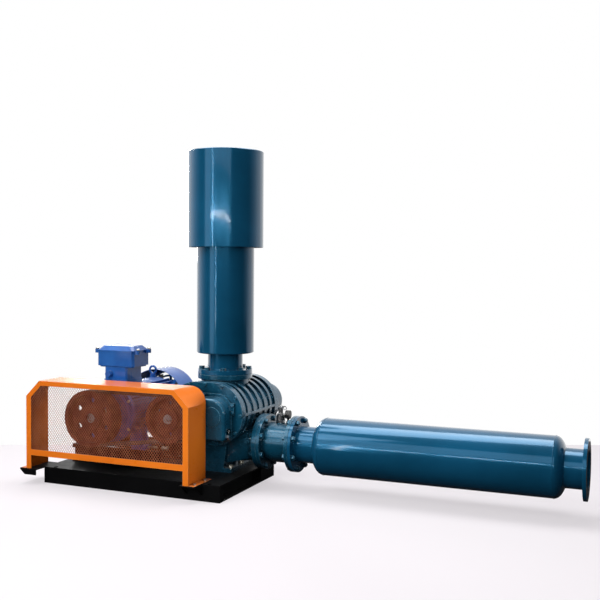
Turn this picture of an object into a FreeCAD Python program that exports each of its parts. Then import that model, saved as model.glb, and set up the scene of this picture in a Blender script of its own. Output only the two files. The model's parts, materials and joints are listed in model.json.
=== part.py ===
import FreeCAD, Part
import math
import os

Vector = FreeCAD.Vector

# A three-lobe roots blower on a skid, driven by V-belts, with its inlet and discharge silencers.
# Millimetres, +Z up. The origin is on the floor at the middle of the skid's footprint.
# +X points along the discharge, -Y is the side with the belt guard.

# Skid
skid_length = 1230.0
skid_width = 760.0
skid_height = 100.0
channel_width = 50.0
channel_web = 6.0
channel_flange = 8.0
deck_thickness = 6.0
cross_member_width = 60.0
anchor_inset_x = 75.0
anchor_inset_y = 20.0
anchor_hole_radius = 9.0
anchor_access_radius = 15.0
groove_end = 185.0
rail_support_far = 270.0
rail_support_near = 90.0

# Blower place and rotors
blower_x = 391.0
blower_y = 120.0
shaft_height = 468.0
rotor_centres = 192.0
lobes = 3
rotor_side_clearance = 0.4
rotor_end_clearance = 0.5
chamber_clearance = 0.4
arch_points = 12
chamber_length = 462.0

# Casing
casing_wall = 14.0
plate_thickness = 32.0
plate_half_height = 189.0
plate_half_width = 250.0
rib_count = 5
rib_thickness = 28.0
rib_pitch = 80.0
rib_setback = 5.0
side_rail_thickness = 16.0
port_radius = 150.0
chest_top_half_width = 112.0
chest_foot_half_width = 85.0
chest_half_length = 185.0
chest_wall = 16.0
chest_floor_height = 168.0
foot_half_width = 137.0
foot_thickness = 26.0
foot_bolt_size = 20.0

# Flanges and pipe, nominal bore 200
pipe_radius = 109.5
pipe_wall = 6.0
flange_radius = 170.0
flange_thickness = 20.0
port_flange_thickness = 28.0
flange_bolt_circle = 295.0
flange_bolt_count = 8
flange_bolt_size = 20.0
flange_hole_radius = 11.5
port_hole_radius = 12.0
gasket_thickness = 2.0

# Covers and shafts
front_cover_depth = 100.0
gear_cover_depth = 172.0
gear_cover_radius = 114.0
cover_wall = 9.0
cover_flange_thickness = 16.0
cover_half_width = 180.0
cover_top = 106.0
cover_bottom = 142.0
gear_cover_rim = 16.0
gear_cover_bolt_size = 8.0
cover_rim_top = 20.0
cover_rim_side = 8.0
cover_rim_bottom = 6.0
cover_bolt_size = 10.0
glass_drop = 90.0
drain_drop = 122.0
plate_bolt_size = 12.0
bearing_boss_length = 34.0
bearing_boss_radius = 72.0
bearing_radius = 55.0
bearing_width = 28.0
shaft_radius = 30.0
seal_radius = 38.0
rotor_seat_radius = 34.0
drive_end_radius = 27.5
fit = 0.02
running_fit = 0.05
seat_gap = 0.3

# Timing gears
gear_module = 6.0
gear_width = 55.0
gear_backlash = 0.5
pressure_angle = math.radians(20.0)

# Belt drive
blower_pulley_radius = 140.0
motor_pulley_radius = 171.0
belt_count = 5
belt_pitch = 19.0
belt_top_width = 16.0
belt_bottom_width = 9.6
belt_height = 12.5
belt_clearance = 0.35
pulley_side = 12.5
pulley_front = -435.0
rim_thickness = 12.0
web_thickness = 16.0

# Motor, frame size 225
motor_x = -247.0
motor_centre_height = 225.0
motor_axis_height = 434.0
motor_shoulder = -262.0
motor_shaft_radius = 30.0
motor_shaft_length = 140.0
motor_shell_radius = 172.0
motor_shell_wall = 14.0
stator_depth = 34.0
core_air_gap = 1.2
core_front = -100.0
core_back = 160.0
winding_length = 58.0
fin_height = 30.0
fin_thickness = 5.0
fin_count = 48
motor_front_face = -235.0
motor_shell_front = -213.0
motor_shell_back = 320.0
motor_back_shield = 338.0
cowl_radius = 221.0
cowl_wall = 2.5
cowl_front = 328.0
cowl_back = 530.0
foot_spacing_x = 356.0
foot_spacing_y = 311.0
foot_first = 149.0
motor_foot_width = 80.0
motor_foot_reach = 217.0
motor_bolt_size = 16.0

# Terminal box
box_y = -60.0
box_width = 272.0
box_depth = 188.0
box_bottom = 716.0
box_top = 816.0
lid_height = 34.0
eye_offset = 355.0
lid_bevel = 26.0
neck_width = 166.0
neck_depth = 176.0
ear_radius = 14.0
ear_reach = 15.0
lid_bolt_size = 12.0

# Belt guard
guard_left_room = 269.0
guard_right_room = 19.0
guard_front = -460.0
guard_back = -253.0
guard_headroom = 40.0
guard_corner = 98.0
guard_sheet = 2.5
guard_border = 36.0
guard_rail_bottom = 184.0
guard_rail_top = 221.0
guard_foot = 40.0
mesh_thickness = 1.5
mesh_columns = 12
mesh_rows = 5
mesh_bar = 9.0

# Inlet silencer
drum_radius = 179.0
drum_bottom = 817.0
drum_top = 1560.0
drum_wall = 3.0
hood_radius = 236.0
hood_bottom = 1476.0
hood_top = 2070.0
hood_wall = 2.5

# Discharge line
discharge_height = 276.0
outlet_face = 680.0
tee_radius = 120.0
tee_wall = 8.0
tee_length = 203.0
silencer_radius = 171.0
silencer_wall = 4.0
silencer_start = 1075.0
silencer_end = 2412.0
dish_depth = 72.0
discharge_end = 2586.0

# Relief valve and gauge
valve_x = 775.0
gauge_x = 824.0
valve_body_radius = 27.0
valve_body_height = 48.0
valve_bonnet_radius = 14.5
valve_bonnet_height = 48.0
valve_lift = 8.0
ring_radius = 10.0
gauge_radius = 26.0
gauge_depth = 26.0
gauge_neck = 26.0
socket_height = 4.0

# Places worked out from the sizes above
drive_x = blower_x - rotor_centres / 2
driven_x = blower_x + rotor_centres / 2
pitch_radius = rotor_centres / 2
rolling_radius = pitch_radius / (2 * lobes)
tip_radius = pitch_radius + 2 * rolling_radius - rotor_side_clearance
chamber_radius = tip_radius + chamber_clearance
chamber_front = blower_y - chamber_length / 2
chamber_back = blower_y + chamber_length / 2
plate_front = chamber_front - plate_thickness
plate_back = chamber_back + plate_thickness
arc_centre = plate_half_width - plate_half_height
port_top = 686.0
inlet_face = port_top + gasket_thickness
tee_face = outlet_face + gasket_thickness
tee_end = tee_face + tee_length
silencer_face = tee_end + gasket_thickness
pulley_width = (belt_count - 1) * belt_pitch + 2 * pulley_side
pulley_back = pulley_front + pulley_width
motor_foot_height = motor_axis_height - motor_centre_height
gear_front = plate_back + bearing_boss_length + 8
stator_radius = motor_shell_radius - motor_shell_wall
motor_core_radius = stator_radius - stator_depth
guard_left = motor_x - motor_pulley_radius - guard_left_room
guard_right = drive_x + blower_pulley_radius + guard_right_room
guard_top = guard_headroom + max(motor_axis_height + motor_pulley_radius,
                                 shaft_height + blower_pulley_radius)
gear_teeth = round(rotor_centres / gear_module)
EAST = Vector(1, 0, 0)
SOUTH = Vector(0, -1, 0)
NORTH = Vector(0, 1, 0)
WEST = Vector(-1, 0, 0)
UP = Vector(0, 0, 1)
DOWN = Vector(0, 0, -1)


# Simple solids

def box(x0, x1, y0, y1, z0, z1):
    """Block between two corners."""
    return Part.makeBox(x1 - x0, y1 - y0, z1 - z0, Vector(x0, y0, z0))


def rod_x(y, z, radius, x0, x1):
    """Round bar along X."""
    return Part.makeCylinder(radius, x1 - x0, Vector(x0, y, z), EAST)


def rod_y(x, z, radius, y0, y1):
    """Round bar along Y."""
    return Part.makeCylinder(radius, y1 - y0, Vector(x, y0, z), NORTH)


def rod_z(x, y, radius, z0, z1):
    """Round bar along Z."""
    return Part.makeCylinder(radius, z1 - z0, Vector(x, y, z0), UP)


def join(shapes):
    """One solid from touching or overlapping ones, with seams between flat faces removed."""
    first = shapes[0]
    if len(shapes) == 1:
        return first
    return first.fuse(shapes[1:]).removeSplitter()


def group(shapes):
    """Separate solids kept together in one node."""
    return Part.makeCompound(shapes)


def face_of(edges):
    """Flat face inside a closed run of edges."""
    return Part.Face(Part.Wire(edges))


def polygon(points):
    """Flat face inside straight sides."""
    return Part.Face(Part.makePolygon(points + [points[0]]))


def arc(a, b, c):
    """Edge on the circle through three points."""
    return Part.Arc(a, b, c).toShape()


def line(a, b):
    """Straight edge."""
    return Part.LineSegment(a, b).toShape()


def revolved(profile, centre, axis):
    """Solid of revolution of a flat profile."""
    return polygon(profile).revolve(centre, axis, 360)


def turned_y(x, z, steps):
    """Turned solid along Y from (y, outer radius) steps, square at every step."""
    profile = [Vector(x, steps[0][0], z)]
    for y, radius in steps:
        profile.append(Vector(x + radius, y, z))
    profile.append(Vector(x, steps[-1][0], z))
    return revolved(profile, Vector(x, 0, z), NORTH)


def around(count, radius, start=0.0):
    """Points on a circle as (u, v) pairs, the first one at the start angle in degrees."""
    step = 360.0 / count
    angles = [math.radians(start + step * i) for i in range(count)]
    return [(radius * math.cos(a), radius * math.sin(a)) for a in angles]


def stadium_y(half_width, half_height, y0, y1, x=blower_x, z=shaft_height):
    """Rounded slab along Y with half-round left and right ends."""
    c = half_width - half_height
    top_left = Vector(x - c, y0, z + half_height)
    top_right = Vector(x + c, y0, z + half_height)
    bottom_right = Vector(x + c, y0, z - half_height)
    bottom_left = Vector(x - c, y0, z - half_height)
    right = Vector(x + half_width, y0, z)
    left = Vector(x - half_width, y0, z)
    edges = [line(top_left, top_right), arc(top_right, right, bottom_right),
             line(bottom_right, bottom_left), arc(bottom_left, left, top_left)]
    return face_of(edges).extrude(Vector(0, y1 - y0, 0))


def stadium_points(count, half_width, half_height):
    """Evenly spaced (x, z) points round the same outline, measured from its middle."""
    straight = 2 * (half_width - half_height)
    turn = math.pi * half_height
    total = 2 * straight + 2 * turn
    points = []
    for i in range(count):
        s = (total * i / count + straight / 2) % total
        if s < straight:
            points.append((s - straight / 2, half_height))
        elif s < straight + turn:
            a = (s - straight) / half_height
            points.append((straight / 2 + half_height * math.sin(a), half_height * math.cos(a)))
        elif s < 2 * straight + turn:
            points.append((straight / 2 - (s - straight - turn), -half_height))
        else:
            a = (s - 2 * straight - turn) / half_height
            points.append((-straight / 2 - half_height * math.sin(a), -half_height * math.cos(a)))
    return points


# Fasteners

def prism(centre, along, radius, height, sides=6):
    """Regular prism standing on a point, its corners at the given radius."""
    side = Vector(0, 0, 1) if abs(along.z) < 0.5 else Vector(1, 0, 0)
    other = along.cross(side)
    corners = []
    for u, v in around(sides, radius, 30.0):
        corners.append(centre + side * u + other * v)
    return polygon(corners).extrude(along * height)


def bolt(seat, along, size, grip, nut=False):
    """Hexagon bolt with its washer; the head stands on the seat, the shank runs along."""
    washer = Part.makeCylinder(size * 0.9, size * 0.15, seat, along * -1)
    head_seat = seat - along * (size * 0.15)
    head = prism(head_seat, along * -1, size * 0.87, size * 0.62)
    shank = Part.makeCylinder(size / 2, grip + size * 0.15, head_seat, along)
    pieces = [head, washer, shank]
    if nut:
        shank = Part.makeCylinder(size / 2, grip + size * 1.25, head_seat, along)
        nut_seat = seat + along * grip
        pieces = [head, washer, shank, prism(nut_seat, along, size * 0.87, size * 0.8)]
    return join(pieces)


# Pipe flanges

def flange_points(centre, along):
    """Bolt places on a pipe flange, straddling the centre lines."""
    side = Vector(0, 0, 1) if abs(along.z) < 0.5 else Vector(1, 0, 0)
    other = along.cross(side)
    half_step = 180.0 / flange_bolt_count
    places = around(flange_bolt_count, flange_bolt_circle / 2, half_step)
    return [centre + side * u + other * v for u, v in places]


def flange_holes(centre, along, depth, radius):
    """Drilled holes of a pipe flange."""
    holes = []
    for point in flange_points(centre, along):
        holes.append(Part.makeCylinder(radius, depth + 2, point - along, along))
    return holes


def pipe_flange(centre, along, thickness, bore, hole_radius):
    """Plate flange with its holes and bore; the ones next to the blower are drilled wider."""
    disc = Part.makeCylinder(flange_radius, thickness, centre, along)
    hole = Part.makeCylinder(bore, thickness + 2, centre - along, along)
    return disc.cut([hole] + flange_holes(centre, along, thickness, hole_radius))


def gasket(centre, along):
    """Flat ring between two flanges, inside the bolts."""
    ring = Part.makeCylinder(flange_bolt_circle / 2 - port_hole_radius - 1, gasket_thickness,
                             centre, along)
    return ring.cut(Part.makeCylinder(pipe_radius - pipe_wall, gasket_thickness, centre, along))


def flange_bolts(centre, along, near, far):
    """Bolts through a pair of flanges with their nuts."""
    bolts = []
    for point in flange_points(centre, along):
        bolts.append(bolt(point, along, flange_bolt_size, near + far + gasket_thickness, True))
    return bolts


# Skid

def skid_frame():
    """Decked frame of channels: plain webs outside on three sides, a groove towards the outlet."""
    hx = skid_length / 2
    hy = skid_width / 2
    w = channel_width
    web = channel_web
    low = channel_flange
    high = skid_height - channel_flange
    block = box(-hx, hx, -hy, hy, 0, skid_height)
    cuts = [box(-hx + w, hx - w, -hy + w, hy - w, -1, skid_height - deck_thickness)]
    cuts.append(box(-hx + web, hx - w - 1, -hy + web, -hy + w + 1, low, high))
    cuts.append(box(-hx + web, hx - web, hy - w - 1, hy - web, low, high))
    cuts.append(box(-hx + web, -hx + w + 1, -hy + web, hy - web, low, high))
    cuts.append(box(hx - w - 1, hx - web, groove_end + web, hy - web, low, high))
    cuts.append(box(hx - w + web, hx + 1, -hy + w, groove_end, low, high))
    frame = block.cut(cuts)
    members = []
    for x in (motor_x - rail_support_far, motor_x - rail_support_near,
              motor_x + rail_support_near, motor_x + rail_support_far,
              blower_x - chest_foot_half_width, blower_x + chest_foot_half_width):
        half = cross_member_width / 2
        beam = box(x - half, x + half, -hy + w, hy - w, 0, skid_height - deck_thickness)
        hollow = box(x - half + web, x + half, -hy + w, hy - w, low, high - deck_thickness)
        members.append(beam.cut(hollow))
    spine = box(-hx + w, hx - w, -5, 5, 20, skid_height - deck_thickness)
    holes = []
    for sx in (-1, 1):
        for sy in (-1, 1):
            x = sx * (hx - anchor_inset_x)
            y = sy * (hy - anchor_inset_y)
            holes.append(rod_z(x, y, anchor_hole_radius, -1, channel_flange + 1))
            holes.append(rod_z(x, y, anchor_access_radius, high - 1, skid_height + 1))
    for point in foot_bolt_places():
        holes.append(rod_z(point.x, point.y, foot_bolt_size / 2 + 0.5, skid_height - 20, skid_height + 1))
    for point in rail_bolt_places():
        holes.append(rod_z(point.x, point.y, rail_bolt_size / 2 + 0.5, skid_height - 20, skid_height + 1))
    for point in guard_foot_places():
        if point.y > -hy:
            holes.append(rod_z(point.x, point.y, 5.5, skid_height - 20, skid_height + 1))
    return join([frame] + members + [spine]).cut(holes)


def guard_brackets():
    """Arms that carry the guard's feet where they stand out past the skid."""
    hx = skid_length / 2
    hy = skid_width / 2
    z1 = skid_height
    z0 = skid_height - channel_flange
    x0 = guard_left - guard_foot - 6
    left = box(x0, -hx, guard_front - 4, guard_back + 4, z0, z1)
    web = polygon([Vector(x0, guard_front - 4, z0), Vector(x0 + 34, guard_front - 4, z0 - 30),
                   Vector(-hx, guard_front - 4, z0 - 30), Vector(-hx, guard_front - 4, z0)])
    left = join([left, web.extrude(Vector(0, 6, 0))])
    right = box(guard_right - 60, guard_right + guard_foot + 6, guard_front - 4, -hy, z0, z1)
    gussets = []
    for x in (guard_right - 60, guard_right + guard_foot):
        gusset = polygon([Vector(x, -hy, z0), Vector(x, guard_front + 10, z0), Vector(x, -hy, z0 - 60)])
        gussets.append(gusset.extrude(Vector(6, 0, 0)))
    right = join([right] + gussets)
    holes = [rod_z(p.x, p.y, 5.5, z0 - 1, z1 + 1) for p in guard_foot_places()]
    return group([left.cut(holes), right.cut(holes)])


# Motor rails

def rail_y_places():
    """Middle of each motor rail."""
    first = motor_shoulder + foot_first
    return (first, first + foot_spacing_y)


rail_half_length = 320.0
rail_half_width = 45.0
rail_waist = 20.0
rail_bolt_size = 12.0
rail_foot = 14.0
rail_slot = 26.0
lug_height = 34.0


def rail_bolt_places():
    """Bolts that hold the rails to the deck."""
    places = []
    for y in rail_y_places():
        for side in (-1, 1):
            for sy in (-1, 1):
                x = motor_x + side * (rail_half_length - 30)
                offset = (rail_half_width + rail_waist) / 2 + 0.5
                places.append(Vector(x, y + sy * offset, skid_height))
    return places


def motor_rail(y):
    """Cast slide rail: foot, waist and slotted head, with a lug for the belt screw."""
    x0 = motor_x - rail_half_length
    x1 = motor_x + rail_half_length
    z0 = skid_height
    z1 = motor_foot_height
    body = box(x0, x1, y - rail_half_width, y + rail_half_width, z0, z1)
    waist = []
    for side in (-1, 1):
        edge = y + side * rail_half_width
        inner = y + side * rail_waist
        waist.append(box(x0 - 1, x1 + 1, min(edge, inner), max(edge, inner), z0 + rail_foot, z1 - 24))
    slot = box(x0 + 40, x1 - 40, y - rail_slot / 2, y + rail_slot / 2, z1 - 30, z1 + 1)
    lug = box(x1 - 20, x1, y - 22, y + 22, z1 - 1, z1 + lug_height)
    screw_hole = rod_x(y, z1 + 16, 8.2, x1 - 30, x1 + 1)
    radius = rail_bolt_size / 2 + 0.5
    holes = [Part.makeCylinder(radius, rail_foot + 2, p - UP, UP) for p in rail_bolt_places()
             if abs(p.y - y) < rail_half_width]
    return join([body.cut(waist + [slot]), lug]).cut([screw_hole] + holes)


def motor_rails():
    """Both slide rails."""
    return group([motor_rail(y) for y in rail_y_places()])


def skid_bolts():
    """Bolts that hold the rails and the casing's foot down on the deck."""
    grip = rail_foot + deck_thickness + 8
    bolts = [bolt(p + UP * rail_foot, DOWN, rail_bolt_size, grip) for p in rail_bolt_places()]
    for point in foot_bolt_places():
        bolts.append(bolt(point + UP * foot_thickness, DOWN, foot_bolt_size, foot_thickness + 16))
    return group(bolts)


def tension_screws():
    """Screws that push the motor away from the blower to tighten the belts."""
    screws = []
    x1 = motor_x + rail_half_length
    foot_edge = motor_x + motor_foot_reach
    for y in rail_y_places():
        z = motor_foot_height + 16
        length = x1 + 30 - foot_edge - seat_gap
        shank = rod_x(y, z, 8.0, x1 + 30 - length, x1 + 30)
        head = prism(Vector(x1 + 30, y, z), EAST, 13.9, 10)
        nut = prism(Vector(x1, y, z), EAST, 13.9, 8)
        screws.append(join([shank, head, nut]))
    return group(screws)


# Casing

def foot_bolt_places():
    """Bolts through the casing foot."""
    places = []
    for sx in (-1, 1):
        for sy in (-1, 0, 1):
            x = blower_x + sx * (foot_half_width - 24)
            places.append(Vector(x, blower_y + sy * 145, skid_height))
    return places


def slab(x, y, half_x, half_y, z):
    """Rectangular wire in a level plane."""
    corners = [Vector(x - half_x, y - half_y, z), Vector(x + half_x, y - half_y, z),
               Vector(x + half_x, y + half_y, z), Vector(x - half_x, y + half_y, z)]
    return Part.makePolygon(corners + [corners[0]])


def chest(inset, z0, z1):
    """Tapered pedestal under the rotors, wider at the top."""
    top = shaft_height - 125.0
    foot = skid_height + foot_thickness
    lower = chest_foot_half_width + (chest_top_half_width - chest_foot_half_width) * (z0 - foot) / (top - foot)
    upper = chest_foot_half_width + (chest_top_half_width - chest_foot_half_width) * (z1 - foot) / (top - foot)
    half_y = chest_half_length - inset
    return Part.makeLoft([slab(blower_x, blower_y, lower - inset, half_y, z0),
                          slab(blower_x, blower_y, upper - inset, half_y, z1)], True, True)


def duct(x0, x1, half_y, z0, z1, radius):
    """Duct from a low wide rectangle to the round outlet, with one flat side for each quarter."""
    y = blower_y
    zc = discharge_height
    corners = [Vector(x0, y - half_y, z1), Vector(x0, y + half_y, z1),
               Vector(x0, y + half_y, z0), Vector(x0, y - half_y, z0)]
    start = Part.Wire([line(corners[i], corners[(i + 1) % 4]) for i in range(4)])
    r = radius * math.sqrt(0.5)
    ends = [Vector(x1, y - r, zc + r), Vector(x1, y + r, zc + r),
            Vector(x1, y + r, zc - r), Vector(x1, y - r, zc - r)]
    middles = [Vector(x1, y, zc + radius), Vector(x1, y + radius, zc),
               Vector(x1, y, zc - radius), Vector(x1, y - radius, zc)]
    finish = Part.Wire([arc(ends[i], middles[i], ends[(i + 1) % 4]) for i in range(4)])
    return Part.makeLoft([start, finish], True, True)


def chamber():
    """Two overlapping bores in which the rotors turn."""
    left = rod_y(drive_x, shaft_height, chamber_radius, chamber_front, chamber_back)
    right = rod_y(driven_x, shaft_height, chamber_radius, chamber_front, chamber_back)
    return join([left, right])


def plate_bolt_points():
    """Bolt places round a wall plate, as (x, z) in the frame of the part."""
    inset = plate_bolt_size
    points = stadium_points(12, plate_half_width - inset, plate_half_height - inset)
    return [(blower_x + x, shaft_height + z) for x, z in points]


def blower_casing():
    """Ribbed casing with its inlet port, side outlet and foot, cast in one piece."""
    bore_wall = chamber_radius + casing_wall
    body = stadium_y(rotor_centres / 2 + bore_wall, bore_wall, chamber_front, chamber_back)
    rib_half_height = plate_half_height - rib_setback
    rib_half_width = plate_half_width - rib_setback
    pieces = [body]
    for i in range(rib_count):
        y = blower_y + (i - (rib_count - 1) / 2) * rib_pitch
        pieces.append(stadium_y(rib_half_width, rib_half_height, y - rib_thickness / 2,
                                y + rib_thickness / 2))
    end = plate_half_height
    wide = plate_half_width
    pieces.append(stadium_y(wide, end, chamber_front, chamber_front + 18))
    pieces.append(stadium_y(wide, end, chamber_back - 18, chamber_back))
    half_rail = side_rail_thickness / 2
    pieces.append(box(blower_x - wide + 1, blower_x + wide - 1, chamber_front + 1, chamber_back - 1,
                      shaft_height - half_rail, shaft_height + half_rail))
    port = rod_z(blower_x, blower_y, port_radius, shaft_height + 60, port_top - port_flange_thickness + 1)
    flange = rod_z(blower_x, blower_y, flange_radius, port_top - port_flange_thickness, port_top)
    foot_top = skid_height + foot_thickness
    chest_top = shaft_height - 100
    foot = box(blower_x - foot_half_width, blower_x + foot_half_width,
               blower_y - chest_half_length, blower_y + chest_half_length, skid_height, foot_top)
    pieces += [port, flange, foot, chest(0, foot_top - 1, chest_top)]
    duct_start = blower_x + chest_top_half_width - 30
    duct_end = outlet_face - port_flange_thickness + 1
    pieces.append(duct(duct_start, duct_end, 150, chest_floor_height - chest_wall,
                       shaft_height - chamber_radius + 2, pipe_radius + 12))
    pieces.append(Part.makeCylinder(flange_radius, port_flange_thickness,
                                    Vector(outlet_face - port_flange_thickness, blower_y,
                                           discharge_height), EAST))
    solid = join(pieces)
    roof = shaft_height - chamber_radius - casing_wall + 2
    inner_z0 = chest_floor_height
    cuts = [chamber()]
    cuts.append(rod_z(blower_x, blower_y, pipe_radius - pipe_wall, shaft_height, port_top + 1))
    cuts.append(box(blower_x - 62, blower_x + 62, blower_y - 130, blower_y + 130,
                    roof - 10, shaft_height))
    cuts.append(chest(chest_wall, inner_z0, roof))
    cuts.append(chest(chest_wall, foot_top, chest_floor_height - chest_wall))
    cuts.append(box(blower_x - 60, blower_x + 60, blower_y - 160, blower_y + 160,
                    skid_height - 1, foot_top + 1))
    cuts.append(duct(duct_start - 1, outlet_face + 1, 134, inner_z0, roof, pipe_radius - pipe_wall))
    for x, z in plate_bolt_points():
        cuts.append(rod_y(x, z, plate_bolt_size / 2 + 0.5, chamber_front - 1, chamber_front + 16))
        cuts.append(rod_y(x, z, plate_bolt_size / 2 + 0.5, chamber_back - 16, chamber_back + 1))
    cuts += flange_holes(Vector(blower_x, blower_y, port_top - port_flange_thickness), UP,
                         port_flange_thickness, port_hole_radius)
    behind_outlet = Vector(outlet_face - port_flange_thickness, blower_y, discharge_height)
    cuts += flange_holes(behind_outlet, EAST, port_flange_thickness, port_hole_radius)
    for point in flange_points(behind_outlet, WEST):
        cuts.append(Part.makeCylinder(flange_bolt_size, 2 * flange_bolt_size, point, WEST))
    for point in foot_bolt_places():
        cuts.append(rod_z(point.x, point.y, foot_bolt_size / 2 + 0.5, skid_height - 1, foot_top + 1))
    return solid.cut(cuts)


def wall_plate(y0, y1, boss_end):
    """End wall with its bearing bosses; y0 to y1 is the plate, the boss runs on to boss_end."""
    plate = stadium_y(plate_half_width, plate_half_height, min(y0, y1), max(y0, y1))
    pieces = [plate]
    for x in (drive_x, driven_x):
        pieces.append(rod_y(x, shaft_height, bearing_boss_radius, min(y1, boss_end), max(y1, boss_end)))
    solid = join(pieces)
    cuts = []
    for x in (drive_x, driven_x):
        low = min(y0, boss_end) - 1
        high = max(y0, boss_end) + 1
        cuts.append(rod_y(x, shaft_height, seal_radius, low, high))
        cuts.append(rod_y(x, shaft_height, bearing_radius, min(y1, boss_end), max(y1, boss_end)))
    for x, z in plate_bolt_points():
        cuts.append(rod_y(x, z, plate_bolt_size / 2 + 0.5, min(y0, y1) - 1, max(y0, y1) + 1))
    return solid.cut(cuts)


def front_wall_plate():
    """Drive-end wall."""
    return wall_plate(chamber_front, plate_front, plate_front - bearing_boss_length)


def rear_wall_plate():
    """Gear-end wall."""
    return wall_plate(chamber_back, plate_back, plate_back + bearing_boss_length)


def casing_bolts():
    """Bolts of both wall plates and both covers."""
    bolts = []
    for x, z in plate_bolt_points():
        grip = plate_thickness + 14
        bolts.append(bolt(Vector(x, plate_front, z), NORTH, plate_bolt_size, grip))
        bolts.append(bolt(Vector(x, plate_back, z), SOUTH, plate_bolt_size, grip))
    front = plate_front - cover_flange_thickness
    back = plate_back + cover_flange_thickness
    for x, z in cover_bolt_points():
        bolts.append(bolt(Vector(x, front, z), NORTH, cover_bolt_size, cover_flange_thickness - 0.5))
    for x, z in gear_cover_points():
        bolts.append(bolt(Vector(x, back, z), SOUTH, gear_cover_bolt_size,
                          cover_flange_thickness - 0.5))
    return group(bolts)


# Covers

def cover_outline(half_width, top, bottom, round_top, y):
    """Front cover outline: a wide arch over a flat-bottomed oil sump."""
    x = blower_x
    z = shaft_height
    r = round_top
    b = 24.0
    k = math.sqrt(0.5)
    left_top = Vector(x - half_width, y, z + top - r)
    right_top = Vector(x + half_width, y, z + top - r)
    a = Vector(x - half_width + r, y, z + top)
    c = Vector(x + half_width - r, y, z + top)
    left_mid = Vector(x - half_width + r - r * k, y, z + top - r + r * k)
    right_mid = Vector(x + half_width - r + r * k, y, z + top - r + r * k)
    right_low = Vector(x + half_width, y, z - bottom + b)
    right_foot = Vector(x + half_width - b, y, z - bottom)
    left_low = Vector(x - half_width, y, z - bottom + b)
    left_foot = Vector(x - half_width + b, y, z - bottom)
    right_turn = Vector(x + half_width - b + b * k, y, z - bottom + b - b * k)
    left_turn = Vector(x - half_width + b - b * k, y, z - bottom + b - b * k)
    return face_of([line(a, c), arc(c, right_mid, right_top), line(right_top, right_low),
                    arc(right_low, right_turn, right_foot), line(right_foot, left_foot),
                    arc(left_foot, left_turn, left_low), line(left_low, left_top),
                    arc(left_top, left_mid, a)])


cover_lug_half_width = 15.0
cover_lug_x = 56.0
cover_ear_low = 4.0
cover_ear_high = 74.0


def cover_bolt_points():
    """Bolt places on the front cover's flange, as (x, z): ears, bottom lugs and the top rim."""
    reach = cover_half_width + cover_bolt_size + 0.5
    points = [(blower_x, shaft_height + cover_top + cover_rim_top / 2)]
    for side in (-1, 1):
        for z in (cover_ear_high - 14, cover_ear_low + 14):
            points.append((blower_x + side * reach, shaft_height + z))
        points.append((blower_x + side * cover_lug_x,
                       shaft_height - cover_bottom - cover_rim_bottom - 10))
    return points


def front_cover():
    """Drive-end cover, hollow, with an oil sump and the shaft seal boss."""
    y0 = plate_front - front_cover_depth
    y1 = plate_front
    outer = cover_outline(cover_half_width, cover_top, cover_bottom, 92, y0)
    shell = outer.extrude(Vector(0, front_cover_depth, 0))
    rim = [e for e in shell.Edges if abs(e.CenterOfMass.y - y0) < 0.01]
    shell = shell.makeFillet(14, rim)
    rim_y = y1 - cover_flange_thickness
    flange = cover_outline(cover_half_width + cover_rim_side, cover_top + cover_rim_top,
                           cover_bottom + cover_rim_bottom, 100, rim_y)
    flange = flange.extrude(Vector(0, cover_flange_thickness, 0))
    ear_reach = cover_half_width + 2 * cover_bolt_size + 1
    ears = box(blower_x - ear_reach, blower_x + ear_reach, rim_y, y1,
               shaft_height + cover_ear_low, shaft_height + cover_ear_high)
    seal_boss = rod_y(drive_x, shaft_height, 58, y0 - 8, y0 + 20)
    blind_boss = rod_y(driven_x, shaft_height, 58, y0 - 3, y0 + 20)
    pieces = [shell, flange, ears, seal_boss, blind_boss]
    low = shaft_height - cover_bottom - cover_rim_bottom
    for side in (-1, 1):
        x = blower_x + side * cover_lug_x
        pieces.append(box(x - cover_lug_half_width, x + cover_lug_half_width, rim_y, y1,
                          low - 22, low + 10))
    solid = join(pieces)
    inner = cover_outline(cover_half_width - cover_wall, cover_top - cover_wall,
                          cover_bottom - cover_wall, 84, y0 + cover_wall)
    cuts = [inner.extrude(Vector(0, front_cover_depth, 0))]
    cuts.append(rod_y(drive_x, shaft_height, seal_radius, y0 - 9, y0 + 21))
    for x, z in cover_bolt_points():
        cuts.append(rod_y(x, z, cover_bolt_size / 2 + 0.5, rim_y - 1, y1 + 1))
    cuts.append(rod_x(y0 + 50, shaft_height - glass_drop, 12.3, blower_x + 160, blower_x + 190))
    cuts.append(rod_x(y0 + 50, shaft_height - drain_drop, 9.3, blower_x + 160, blower_x + 190))
    cuts.append(rod_z(blower_x, y0 + 50, 12.3, shaft_height + 80, shaft_height + 120))
    return solid.cut(cuts)


def gear_cover_points():
    """Bolt places on the gear cover's flange, as (x, z)."""
    rim = gear_cover_radius + gear_cover_rim / 2
    points = stadium_points(10, rotor_centres / 2 + rim, rim)
    return [(blower_x + x, shaft_height + z) for x, z in points]


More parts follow.
